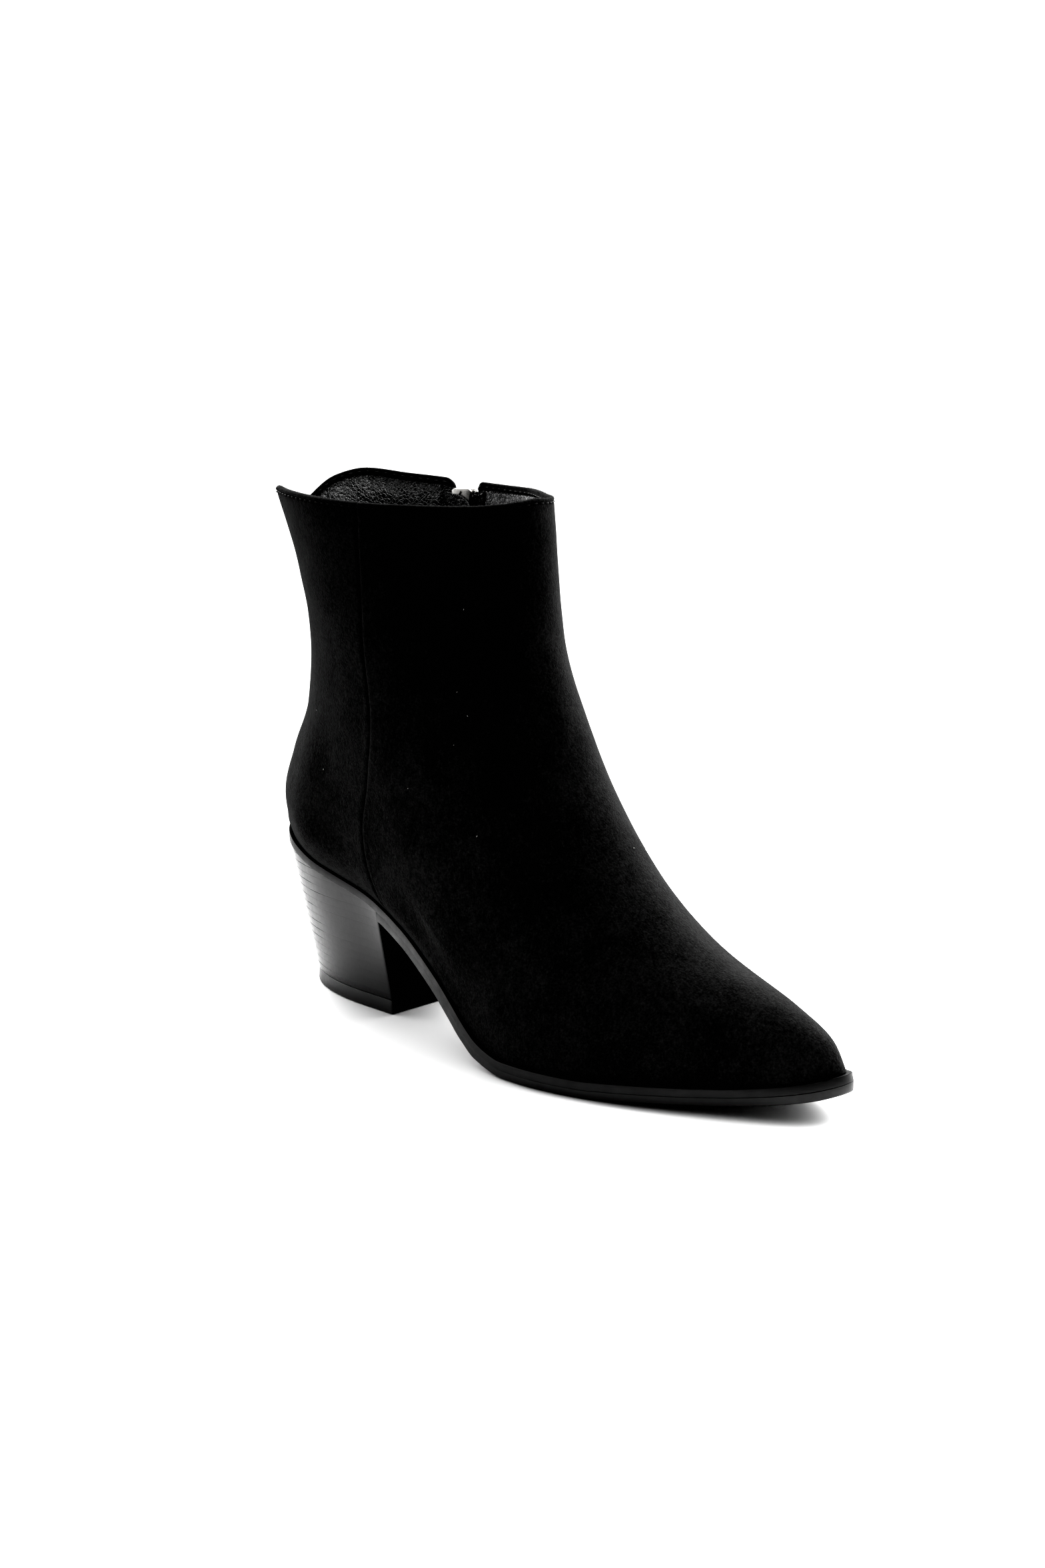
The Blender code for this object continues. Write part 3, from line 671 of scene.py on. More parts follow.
def suede_material(colours):
    """Black suede: brushed patches, strokes and a short nap that is grey at grazing angles."""
    values = {
        "Roughness": 0.95,
        "Specular IOR Level": 0.0,
        "Sheen Weight": 0.8,
        "Sheen Roughness": 0.4,
        "Sheen Tint": tuple(colours.suede_sheen),
    }
    finish = Finish("black_suede", colours.suede, values)
    place = finish.place()
    brushed = finish.place(stretch=(1.0, 1.0, 0.7))
    patches = finish.grain(place, scale=62.0, detail=3.0, distortion=0.3)
    strokes = finish.grain(brushed, scale=650.0, detail=4.0, roughness=0.7, distortion=0.4)
    nap = finish.grain(place, scale=1500.0, detail=3.0, roughness=0.65)
    tone = finish.mixed(finish.mixed(patches, strokes, share=0.6), nap, share=0.4)
    finish.tone(tone, dark=0.45, light=1.7, low=0.39, high=0.61)
    finish.bump(strokes, distance=0.0005, strength=0.35)
    finish.bump(nap, distance=0.0004, strength=0.8)
    return finish.material


def lining_material(colours):
    """Black smooth lining leather with a fine wrinkled grain."""
    finish = Finish("lining_leather", colours.lining, {"Specular IOR Level": 0.8, "IOR": 1.6})
    place = finish.place(stretch=(1.0, 1.0, 0.75))
    cells = finish.add("ShaderNodeTexVoronoi", {"Scale": 1000.0}, feature="DISTANCE_TO_EDGE")
    finish.link(place, cells.inputs["Vector"])
    cracks = finish.mapped(cells.outputs["Distance"], (0.0, 0.14), (0.0, 1.0))
    wrinkles = finish.grain(place, scale=420.0, detail=4.0, roughness=0.62, distortion=0.8)
    finish.tone(finish.grain(place, scale=90.0), dark=0.7, light=1.5)
    finish.drive("Roughness", finish.mapped(wrinkles, (0.3, 0.7), (0.22, 0.36)))
    finish.bump(wrinkles, distance=0.0011, strength=0.65)
    finish.bump(cracks, distance=0.0002, strength=0.8)
    return finish.material


def edge_material(name, colour, roughness, specular):
    """Satin sole edge with fine lines from trimming along it and small marks."""
    finish = Finish(name, colour, {"Specular IOR Level": specular})
    trimmed = finish.place(stretch=(0.12, 0.12, 1.0))
    lines = finish.grain(trimmed, scale=2600.0, detail=3.0, roughness=0.6)
    marks = finish.grain(finish.place(), scale=260.0, detail=4.0, roughness=0.65)
    finish.tone(marks, dark=0.75, light=1.45, low=0.35)
    finish.drive("Roughness", finish.mapped(marks, (0.3, 0.75), (roughness - 0.06, roughness + 0.12)))
    finish.bump(lines, distance=0.00006, strength=0.5)
    finish.bump(marks, distance=0.00015, strength=0.25)
    return finish.material


# Half width of the matt glue line between two layers, as a share of a layer, and where its soft edge ends
GLUE_LINE = 0.06
GLUE_EDGE = 2.2 * GLUE_LINE
# Turns from the heel's front, in radians, between which the glue lines fade
GLUE_FADE_START = 2.6
GLUE_FADE_END = 1.7
# Size of the streaks: steps of noise for one radian around the heel and for one layer
STREAK_AROUND = 12.0
STREAK_LAYER = 9.0


def stacked_material(colours):
    """Heel of thin stacked layers, polished black, with matt and broken glue lines between them."""
    finish = Finish("stacked_heel", colours.heel, {"Specular IOR Level": 0.5})
    layer = finish.add("ShaderNodeAttribute", attribute_name="layer").outputs["Fac"]
    around = finish.add("ShaderNodeAttribute", attribute_name="around").outputs["Fac"]
    unrolled = finish.add("ShaderNodeCombineXYZ")
    finish.link(finish.mapped(around, (0.0, 1.0), (0.0, STREAK_AROUND)), unrolled.inputs["X"])
    finish.link(finish.mapped(layer, (0.0, 1.0), (0.0, STREAK_LAYER)), unrolled.inputs["Y"])
    place = unrolled.outputs["Vector"]
    streaks = finish.grain(place, scale=4.0, detail=4.0, roughness=0.7)
    tones = finish.grain(place, scale=0.9, roughness=0.5)
    marks = finish.grain(finish.place(), scale=700.0, detail=3.0, roughness=0.6)
    finish.tone(finish.mixed(streaks, tones, share=0.35), dark=0.35, light=1.5, low=0.34, high=0.56)
    lines = finish.mapped(finish.reckoned("PINGPONG", layer, 0.5), (GLUE_LINE, GLUE_EDGE), (1.0, 0.0))
    broken = finish.grain(place, scale=1.3, detail=3.0, roughness=0.6)
    turned = finish.reckoned("PINGPONG", around, math.pi)
    shares = (
        finish.reckoned("GREATER_THAN", layer, 0.5),
        finish.mapped(broken, (0.38, 0.54), (0.0, 1.0)),
        finish.mapped(turned, (GLUE_FADE_END, GLUE_FADE_START), (0.1, 1.0)),
    )
    for share in shares:
        lines = finish.reckoned("MULTIPLY", lines, share)
    polish = finish.mapped(finish.mixed(streaks, marks, share=0.5), (0.3, 0.7), (0.42, 0.26))
    matt = finish.mapped(lines, (0.0, 1.0), (0.0, 0.45))
    finish.drive("Roughness", finish.reckoned("ADD", polish, matt))
    finish.bump(streaks, distance=0.00006, strength=0.5)
    finish.bump(marks, distance=0.00004, strength=0.4)
    return finish.material


def matt_material(name, colour):
    """Matt black paint with a few paler rubbed specks."""
    finish = Finish(name, colour, {"Roughness": 0.8, "Specular IOR Level": 0.04})
    specks = finish.grain(finish.place(), scale=340.0, detail=5.0, roughness=0.7)
    finish.tone(specks, dark=1.0, light=40.0, low=0.69, high=0.76)
    finish.bump(specks, distance=0.0002, strength=0.3)
    return finish.material


def cloth_material(name, colour):
    """Woven tape with a twill across it."""
    finish = Finish(name, colour, {"Roughness": 0.85, "Specular IOR Level": 0.25})
    twill = {"Scale": 900.0, "Distortion": 0.6}
    warp = finish.add("ShaderNodeTexWave", twill, bands_direction="DIAGONAL")
    finish.link(finish.place(), warp.inputs["Vector"])
    finish.tone(warp.outputs["Fac"], dark=0.6, light=1.6, low=0.2, high=0.8)
    finish.bump(warp.outputs["Fac"], distance=0.0002, strength=0.7)
    return finish.material


def thread_material(name, colour):
    """Twisted sewing thread."""
    finish = Finish(name, colour, {"Roughness": 0.62, "Specular IOR Level": 0.4})
    fibres = finish.grain(finish.place(), scale=3600.0)
    finish.tone(fibres, dark=0.6, light=1.7)
    finish.bump(fibres, distance=0.0001, strength=0.6)
    return finish.material


def plastic_material(name, colour):
    """Moulded black plastic of the zip's teeth."""
    finish = Finish(name, colour, {"Specular IOR Level": 0.5})
    marks = finish.grain(finish.place(), scale=1500.0)
    finish.tone(marks, dark=0.8, light=1.3)
    finish.drive("Roughness", finish.mapped(marks, (0.3, 0.7), (0.3, 0.45)))
    return finish.material


def metal_material(name, colour):
    """Bright nickel with faint polishing marks."""
    finish = Finish(name, colour, {"Metallic": 1.0})
    marks = finish.grain(finish.place(stretch=(1.0, 1.0, 0.2)), scale=2200.0, detail=3.0)
    finish.tone(marks, dark=0.85, light=1.05)
    finish.drive("Roughness", finish.mapped(marks, (0.3, 0.7), (0.2, 0.38)))
    finish.bump(marks, distance=0.00003, strength=0.3)
    return finish.material


class BootSizes(bpy.types.PropertyGroup):
    """Sizes of the boot's finish."""

    suede: FloatProperty(
        name="Suede", description="Thickness of the suede", default=0.0011, unit="LENGTH")
    collar_fold: FloatProperty(
        name="Collar fold", description="Height of the suede turned over inside the collar", default=0.0022,
        unit="LENGTH")
    seam_depth: FloatProperty(
        name="Seam depth", description="Depth of the closed seam on the outer side", default=0.0004,
        unit="LENGTH")
    stitch: FloatProperty(
        name="Stitch", description="Length of one stitch", default=0.0023, unit="LENGTH")
    stitch_gap: FloatProperty(
        name="Stitch gap", description="Space between two stitches", default=0.0009, unit="LENGTH")
    stitch_edge: FloatProperty(
        name="Stitch edge", description="Distance of the stitches from an edge", default=0.0017,
        unit="LENGTH")
    thread: FloatProperty(
        name="Thread", description="Thickness of the thread", default=0.0005, unit="LENGTH")
    wrinkle: FloatProperty(
        name="Wrinkles", description="Height of the lining's wrinkles", default=0.00035, unit="LENGTH")
    heel_layer: FloatProperty(
        name="Heel layer", description="Thickness of one stacked layer of the heel", default=0.0029,
        unit="LENGTH")
    layer_groove: FloatProperty(
        name="Layer groove", description="Depth of the lines between the heel's layers", default=0.00018,
        unit="LENGTH")
    tooth_pitch: FloatProperty(
        name="Tooth pitch", description="Distance from one zip tooth to the next", default=0.0015,
        unit="LENGTH")


class BootColours(bpy.types.PropertyGroup):
    """Colours of the boot's finish."""

    suede: FloatVectorProperty(
        name="Suede", description="Colour of the suede", subtype="COLOR", size=4,
        default=(0.023, 0.023, 0.023, 1.0))
    suede_sheen: FloatVectorProperty(
        name="Suede sheen", description="Colour of the nap at grazing angles", subtype="COLOR", size=4,
        default=(0.14, 0.14, 0.14, 1.0))
    lining: FloatVectorProperty(
        name="Lining", description="Colour of the lining", subtype="COLOR", size=4,
        default=(0.006, 0.006, 0.006, 1.0))
    sole_edge: FloatVectorProperty(
        name="Sole edge", description="Colour of the sole's edges", subtype="COLOR", size=4,
        default=(0.002, 0.002, 0.002, 1.0))
    heel: FloatVectorProperty(
        name="Heel", description="Colour of the stacked heel", subtype="COLOR", size=4,
        default=(0.003, 0.003, 0.003, 1.0))
    breast: FloatVectorProperty(
        name="Heel breast", description="Colour of the heel's front face", subtype="COLOR", size=4,
        default=(0.0006, 0.0006, 0.0006, 1.0))
    lift: FloatVectorProperty(
        name="Lift", description="Colour of the heel's lift", subtype="COLOR", size=4,
        default=(0.008, 0.008, 0.008, 1.0))
    zip: FloatVectorProperty(
        name="Zip", description="Colour of the zip's tape and teeth", subtype="COLOR", size=4,
        default=(0.006, 0.006, 0.006, 1.0))
    thread: FloatVectorProperty(
        name="Thread", description="Colour of the thread", subtype="COLOR", size=4,
        default=(0.008, 0.008, 0.008, 1.0))
    metal: FloatVectorProperty(
        name="Metal", description="Colour of the slider and its pull", subtype="COLOR", size=4,
        default=(0.72, 0.71, 0.69, 1.0))
    lint: FloatVectorProperty(
        name="Lint", description="Colour of the lint on the suede", subtype="COLOR", size=4,
        default=(0.6, 0.6, 0.58, 1.0))
    floor: FloatVectorProperty(
        name="Floor", description="Colour of the floor", subtype="COLOR", size=4,
        default=(0.98, 0.98, 0.98, 1.0))


# Distances from the collar's edge of the rows along its rim, and from the zip's edge of the columns along it
RIM_ROWS = (0.0, 0.05, 0.18, 0.4, 0.7, 1.0, 1.25, 1.5, 1.7, 1.9, 2.15, 2.4, 2.7, 3.1, 3.7, 4.5, 5.5, 6.6, 8.0)
ZIP_COLUMNS = (0.0, 0.05, 0.18, 0.4, 0.7, 1.0, 1.25, 1.5, 1.7, 1.9, 2.2, 2.8, 3.6, 4.4)
SLIT_COLUMNS = (-0.6, -0.2, 0.2, 0.6)
SEAM_COLUMNS = (-4.4, -3.4, -2.5, -1.8, -1.2, -0.8, -0.5, -0.25, 0.0, 0.25, 0.5, 0.8, 1.2, 1.8, 2.5, 3.4, 4.4)
SLIT_END_ROWS = (-1.6, -1.0, -0.6, -0.3, -0.1, 0.0, 0.4, 1.0, 1.8)
SEAM_ROOM_ANGLE = 0.1
RIM_THICKNESS = 2.1
EDGE_RADIUS = 0.9
CORNER_REAR = 3.6
CORNER_FRONT = 1.6
# Share of the height from which the rows below the rim follow the zip's rounded corners
CORNER_BLEND = 0.8
# Kinds of upright lines. The zip's two edges are -1 and 1, which is also the side that they lie on.
PLAIN = 0
REAR_EDGE = -1
FRONT_EDGE = 1
SEAM = 2
SLIT = 3


def collar_rate(angle):
    """Millimetres of height for one level, just below the collar."""
    rise = upper_point(angle, 1.0) - upper_point(angle, 1.0 - COLLAR_STEP)
    return np.linalg.norm(rise, axis=-1) / COLLAR_STEP


class UpperGrid:
    """Rows and columns over the whole upper, with distances from its collar, zip and seam."""

    def __init__(self, front_columns, back_columns, inner_columns, body_rows):
        columns = self.upright_lines(front_columns, back_columns, inner_columns)
        angle, self.kind, self.away = (np.array(values) for values in zip(*columns))
        self.near_zip = np.abs(self.kind) == FRONT_EDGE
        self.zip_rate = float(collar_rate(ZIP_ANGLE))
        rate = collar_rate(angle)
        rate[self.near_zip | (self.kind == SLIT)] = self.zip_rate
        radius = np.where(self.kind == REAR_EDGE, CORNER_REAR, CORNER_FRONT)
        into = np.clip(1 - self.away / radius, 0.0, 1.0)
        drop = np.where(self.near_zip, radius * (1 - np.sqrt(1 - into ** 2)), 0.0)
        rim = np.array(RIM_ROWS)[:, None]
        top = 1 - (drop + rim) / rate
        zip_body = 1 - RIM_ROWS[-1] / self.zip_rate
        body = list(np.linspace(1.0, 0.0, body_rows)[1:])
        body += [(ZIP_LOW_LEVEL + row / self.zip_rate) / zip_body for row in SLIT_END_ROWS]
        body = np.array(sorted(set(body), reverse=True))[:, None]
        straight = 1 - RIM_ROWS[-1] / rate
        blend = np.clip((body - CORNER_BLEND) / (1 - CORNER_BLEND), 0.0, 1.0)
        lower = straight * body - blend * drop / rate
        self.level = np.concatenate([top, lower])
        below_rim = (straight - lower) * rate + RIM_ROWS[-1]
        self.from_top = np.concatenate([np.repeat(rim, len(rate), 1), below_rim])
        gap = zip_half_gap(self.level)
        beside = self.kind * (gap + self.away)
        self.shift = np.where(self.near_zip, beside, np.where(self.kind == SLIT, self.away * gap, 0.0))
        self.shift = np.where(self.kind == SEAM, self.away, self.shift)
        self.angles = np.broadcast_to(angle, self.level.shape)

    @staticmethod
    def upright_lines(front_columns, back_columns, inner_columns):
        """Angle, kind and distance of each upright line, once round from the toe by the outer side."""
        front = np.linspace(0.0, SEAM_ANGLE - SEAM_ROOM_ANGLE, front_columns)
        back = np.linspace(SEAM_ANGLE + SEAM_ROOM_ANGLE, math.pi, back_columns)
        rear = np.linspace(math.pi, ZIP_ANGLE - ZIP_ROOM_ANGLE, inner_columns // 2)[1:]
        fore = np.linspace(ZIP_ANGLE + ZIP_ROOM_ANGLE, 2 * math.pi, inner_columns)[:-1]
        lines = [(angle, PLAIN, 0.0) for angle in front]
        lines += [(SEAM_ANGLE, SEAM, -away) for away in SEAM_COLUMNS]
        lines += [(angle, PLAIN, 0.0) for angle in np.concatenate([back, rear])]
        lines += [(ZIP_ANGLE, REAR_EDGE, away) for away in reversed(ZIP_COLUMNS)]
        lines += [(ZIP_ANGLE, SLIT, share) for share in SLIT_COLUMNS]
        lines += [(ZIP_ANGLE, FRONT_EDGE, away) for away in ZIP_COLUMNS]
        return lines + [(angle, PLAIN, 0.0) for angle in fore]

    def surface(self, shift):
        """Points and outward directions of the grid on the outside of the upper."""
        return upper_point(self.angles, self.level, shift), upper_normal(self.angles, self.level, shift)

    def slit_cells(self):
        """Cells of the grid that lie in the zip's opening."""
        inside = np.flatnonzero(self.kind == SLIT).tolist()
        low = self.level[:, inside[0]]
        rows = [i for i in range(len(low) - 1) if low[i + 1] >= ZIP_LOW_LEVEL - LEVEL_TOLERANCE]
        return [(i, j) for i in rows for j in range(inside[0] - 1, inside[-1] + 1)]

    def from_zip(self):
        """Distance from the edge of the zip's opening, in millimetres."""
        aside = np.abs(self.shift) - zip_half_gap(self.level)
        below = (ZIP_LOW_LEVEL - self.level) * self.zip_rate
        corner = np.hypot(np.maximum(aside, 0.0), np.maximum(below, 0.0))
        distance = np.where(below > 0, corner, aside)
        return np.where(self.near_zip | (self.kind == SLIT), np.maximum(distance, 0.0), FAR)


def crease_relief(points):
    """Height of the listed troughs and ridges at points on the upper."""
    relief = np.zeros(points.shape[:-1])
    for middle, direction, half_length, half_width, depth in CREASES:
        along = unit(direction)
        away = points - np.array(middle)
        run = away @ along
        across = np.linalg.norm(away - run[..., None] * along, axis=-1)
        spread = (run / half_length) ** 2 + (across / half_width) ** 2
        relief -= depth * np.exp(-spread)
    return relief


def bell(distance, place, width):
    """Soft ridge of height 1 along a line, at a place and of a width across it."""
    return np.exp(-((distance - place) / width) ** 2)


# Low relief of the suede in millimetres: waves as height and size, and lines along the edges
SUEDE_WAVES = ((0.16, 26.0), (0.07, 9.0))
SEAM_WIDTH = 0.45
SEAM_LIP = 0.14
SEAM_LIP_PLACE = 1.7
SEAM_LIP_WIDTH = 1.0
COLLAR_BEAD = 0.15
COLLAR_BEAD_PLACE = 0.7
COLLAR_BEAD_WIDTH = 0.6
STITCH_LINE_WIDTH = 0.45
COLLAR_LINE_DEPTH = 0.3
ZIP_LINE_DEPTH = 0.25
SOLE_TUCK_DEPTH = 0.15
SOLE_TUCK_HEIGHT = 0.7
FOLD_SOFTNESS = 0.3
SLIT_EDGE_RADIUS = 0.7
INSIDE_RELIEF = 0.8


class BOOT_OT_suede(bpy.types.Operator):
    """Suede of the vamp and shaft, turned over at the collar and slit for the zip"""

    bl_idname = "boot.suede"
    bl_label = "Suede"

    def execute(self, context):
        sizes = context.scene.boot_sizes
        suede = sizes.suede / MM
        fold = sizes.collar_fold / MM
        stitch_edge = sizes.stitch_edge / MM
        grid = UpperGrid(front_columns=74, back_columns=60, inner_columns=78, body_rows=96)
        points, normals = grid.surface(grid.shift)
        from_zip = grid.from_zip()
        from_seam = np.where(grid.kind == SEAM, np.abs(grid.away), FAR)
        from_sole = points[..., 2] - sole_top(points[..., 0])
        relief = crease_relief(points)
        for height, size in SUEDE_WAVES:
            relief += height * soft_noise(points, size)
        relief -= sizes.seam_depth / MM * bell(from_seam, 0.0, SEAM_WIDTH)
        relief += SEAM_LIP * bell(from_seam, SEAM_LIP_PLACE, SEAM_LIP_WIDTH)
        relief -= COLLAR_LINE_DEPTH * bell(grid.from_top, stitch_edge, STITCH_LINE_WIDTH)
        relief += COLLAR_BEAD * bell(grid.from_top, COLLAR_BEAD_PLACE, COLLAR_BEAD_WIDTH)
        relief -= ZIP_LINE_DEPTH * bell(from_zip, stitch_edge, STITCH_LINE_WIDTH)
        relief -= SOLE_TUCK_DEPTH * np.clip(1 - from_sole / SOLE_TUCK_HEIGHT, 0.0, 1.0) ** 2
        folded = 1 - smooth_step(fold - FOLD_SOFTNESS, fold + FOLD_SOFTNESS, grid.from_top)
        thickness = suede + (RIM_THICKNESS - suede) * folded
        full = rounded_edge(grid.from_top, EDGE_RADIUS) * rounded_edge(from_zip, SLIT_EDGE_RADIUS)
        rounding = 0.5 * thickness * (1 - full)
        outside = above_sole(points - (rounding - relief)[..., None] * normals)
        inner_depth = thickness - rounding - INSIDE_RELIEF * relief
        inside = above_sole(points - inner_depth[..., None] * normals)
        mesh = sheet_mesh(outside, inside, closed=True, missing=grid.slit_cells())
        show("upper_suede", mesh, suede_material(context.scene.boot_colours), BOOT, ["upper"])
        return {"FINISHED"}


# Lining in millimetres: its edges, its wrinkles, and its soft swell below the collar
LINING_SET_BACK = 0.9
LINING_ROOM = 0.08
LINING_EDGE_GAP = 0.2
LINING_EDGE_RADIUS = 0.8
LINING_SLIT_GAP = 0.4
LINING_SLIT_RADIUS = 0.5
WRINKLE_STRETCH = (1.0, 1.0, 0.7)
WRINKLE_SIZE = 5.5
FINE_WRINKLE_SIZE = 2.6
FINE_WRINKLE_SHARE = 0.6
WRINKLE_FULL = 5.0
CALM_START = 1.5
CALM_END = 9.0
SWELL_DEPTH = 2.3
SWELL_REACH = 11.0
SWELL_FADE_START = 14.0
SWELL_FADE_END = 40.0


class BOOT_OT_lining(bpy.types.Operator):
    """Wrinkled leather lining inside the upper, below the turned collar"""

    bl_idname = "boot.lining"
    bl_label = "Lining"

    def execute(self, context):
        sizes = context.scene.boot_sizes
        grid = UpperGrid(front_columns=60, back_columns=50, inner_columns=64, body_rows=80)
        edge = sizes.collar_fold / MM + LINING_EDGE_GAP
        beside_zip = np.where(grid.near_zip, grid.kind * (1 - grid.away / ZIP_COLUMNS[-1]), 0.0)
        points, normals = grid.surface(grid.shift + LINING_SET_BACK * beside_zip)
        from_zip = grid.from_zip()
        below_edge = grid.from_top - edge
        wrinkles = soft_noise(points * np.array(WRINKLE_STRETCH), WRINKLE_SIZE)
        wrinkles += FINE_WRINKLE_SHARE * soft_noise(points, FINE_WRINKLE_SIZE)
        wrinkles *= sizes.wrinkle / MM * smooth_step(0.0, WRINKLE_FULL, below_edge)
        swell = SWELL_DEPTH * (1 - (1 - np.clip(below_edge / SWELL_REACH, 0.0, 1.0)) ** 2)
        swell *= 1 - smooth_step(SWELL_FADE_START, SWELL_FADE_END, below_edge)
        near_face = sizes.suede / MM + LINING_ROOM
        far_face = UPPER_WALL + smooth_step(CALM_START, CALM_END, from_zip) * (swell + wrinkles)
        full = rounded_edge(below_edge, LINING_EDGE_RADIUS)
        full *= rounded_edge(from_zip - LINING_SLIT_GAP, LINING_SLIT_RADIUS)
        middle = 0.5 * (near_face + far_face)
        half = 0.5 * (far_face - near_face) * full
        front = above_sole(points - (middle - half)[..., None] * normals)
        back = above_sole(points - (middle + half)[..., None] * normals)
        start = int(np.argmax(np.array(RIM_ROWS) >= edge))
        missing = [(i - start, j) for i, j in grid.slit_cells() if i >= start]
        mesh = sheet_mesh(front[start:], back[start:], closed=True, missing=missing)
        show("upper_lining", mesh, lining_material(context.scene.boot_colours), BOOT)
        return {"FINISHED"}


# Thickness of a stitch along its length, and how it rises from the surface, in thread radii
STITCH_TAPER = (0.6, 0.95, 1.0, 1.0, 0.95, 0.6)
STITCH_RISE = 2.2
STITCH_SUNK = 1.2
STITCH_FULLNESS = 0.6
STITCH_SIDES = 6
# Depth of the stitches below the upper's surface, outside and on the rim's inner face
STITCH_VALLEY = 0.16
STITCH_INSIDE = RIM_THICKNESS - 0.05
ZIP_STITCH_LOW = ZIP_LOW_LEVEL - 0.02
ZIP_STITCH_HIGH = 0.965
COLLAR_STATIONS = 900
ZIP_STATIONS = 500
SLIT_END_STATIONS = 40


def stitches(path, normals, sizes):
    """Row of stitches laid along a path on a surface, in millimetres."""
    run = line_run(path)
    gap = sizes.stitch_gap / MM
    length = sizes.stitch / MM
    radius = 0.5 * sizes.thread / MM
    share = np.linspace(0.0, 1.0, len(STITCH_TAPER))
    height = radius * (STITCH_RISE * np.sin(math.pi * share) ** STITCH_FULLNESS - STITCH_SUNK)
    parts = []
    for k in range(int(run[-1] // (length + gap))):
        at = k * (length + gap) + 0.5 * gap + share * length
        up = unit(line_at(normals, run, at))
        line = line_at(path, run, at) + height[:, None] * up
        parts.append(tube_points(line, up, radius * np.array(STITCH_TAPER), STITCH_SIDES))
    return parts


class BOOT_OT_stitching(bpy.types.Operator):
    """Stitches along the collar, outside and inside, and along both edges of the zip"""

    bl_idname = "boot.stitching"
    bl_label = "Stitching"

    def execute(self, context):
        sizes = context.scene.boot_sizes
        edge = sizes.stitch_edge / MM
        room = 0.5 * ZIP_ROOM_ANGLE
        angle = np.linspace(ZIP_ANGLE + room - 2 * math.pi, ZIP_ANGLE - room, COLLAR_STATIONS) % (2 * math.pi)
        level = 1 - edge / collar_rate(angle)
        rows = [(angle, level, 0.0, STITCH_VALLEY, 1.0), (angle, level, 0.0, STITCH_INSIDE, -1.0)]
        level = np.linspace(ZIP_STITCH_LOW, ZIP_STITCH_HIGH, ZIP_STATIONS)
        for side in (-1.0, 1.0):
            shift = side * (zip_half_gap(level) + edge)
            rows.append((np.full_like(level, ZIP_ANGLE), level, shift, STITCH_VALLEY, 1.0))
        shift = np.linspace(-1.0, 1.0, SLIT_END_STATIONS) * (ZIP_LOW_HALF_GAP + edge)
        level = np.full_like(shift, ZIP_STITCH_LOW)
        rows.append((np.full_like(level, ZIP_ANGLE), level, shift, STITCH_VALLEY, 1.0))
        parts = []
        for angle, level, shift, depth, facing in rows:
            normals = upper_normal(angle, level, shift)
            path = upper_point(angle, level, shift) - depth * normals
            parts += stitches(path, facing * normals, sizes)
        thread = thread_material("black_thread", context.scene.boot_colours.thread)
        show("stitching", parts_mesh(parts), thread, BOOT)
        return {"FINISHED"}


LOOP_STATIONS = 150
REAR_STATIONS = 12
SIDES = (("outer", -1.0), ("inner", 1.0))


def two_sided_loop(outer, inner):
    """Closed loop from the back middle along the outer side to the front and back along the inner side."""
    return np.concatenate([outer, inner[1:-1][::-1]])


def loop_normals(loop):
    """Outward directions of a closed loop seen from above."""
    along = np.roll(loop, -1, axis=0)[:, :2] - np.roll(loop, 1, axis=0)[:, :2]
    return unit(np.stack([along[:, 1], -along[:, 0]], -1)) * np.sign(loop_area(loop))


def loop_area(loop):
    """Signed area of a loop seen from above."""
    x, y = loop[:, 0], loop[:, 1]
    return 0.5 * float(np.sum(x * np.roll(y, -1) - np.roll(x, -1) * y))


def inset_loop(loop, inset):
    """Loop moved inwards, seen from above."""
    moved = loop.copy()
    moved[:, :2] -= np.reshape(inset, (-1, 1)) * loop_normals(loop)
    return moved


def flat_points(x, y):
    """Points on the floor."""
    return np.stack([x, y, np.zeros_like(x)], -1)


def stations_between(start, end):
    """Lengths between two ends, closer together at both of them."""
    turn = np.linspace(0.0, math.pi, LOOP_STATIONS)
    return start + (end - start) * 0.5 * (1 - np.cos(turn))


def sole_edge(side, sign, x):
    """Sideways place of the sole's edge at lengths x."""
    return centre_line(x) + sign * sole_half_width(side, x)


def sole_loop():
    """Outline of the whole sole."""
    x = stations_between(0.0, SOLE_LENGTH)
    return two_sided_loop(*[flat_points(x, sole_edge(side, sign, x)) for side, sign in SIDES])


def outsole_loop():
    """Outline of the outsole: straight across at the heel, then along the sole to the toe."""
    start = HEEL_BREAST_X + GAP
    turn = np.linspace(0.0, 0.5 * math.pi, LOOP_STATIONS)
    x = start + (SOLE_LENGTH - start) * np.sin(turn)
    rear = np.linspace(0.0, 1.0, REAR_STATIONS)[:-1]
    sides = []
    for side, sign in SIDES:
        y = sole_edge(side, sign, x)
        across = flat_points(np.full_like(rear, start), rear * y[0])
        sides.append(np.concatenate([across, flat_points(x, y)]))
    return two_sided_loop(*sides)


def footbed_loop():
    """Outline of the footbed, set in from the sole's edge and rounded at both ends."""
    x = stations_between(INSOLE_BACK_X, INSOLE_FRONT_X)
    share = (x - INSOLE_BACK_X) / (INSOLE_FRONT_X - INSOLE_BACK_X)
    rounding = np.minimum(1.0, ellipse_height(share) / INSOLE_END_ROUNDNESS)
    set_in = [sole_half_width(side, x) * (1 - rounding) + INSOLE_INSET * rounding for side, _ in SIDES]
    sides = []
    for side, sign in SIDES:
        half = np.maximum(sole_half_width(side, x) - np.maximum(*set_in), 0.0)
        half[[0, -1]] = 0.0
        sides.append(flat_points(x, centre_line(x) + sign * half))
    return two_sided_loop(*sides)


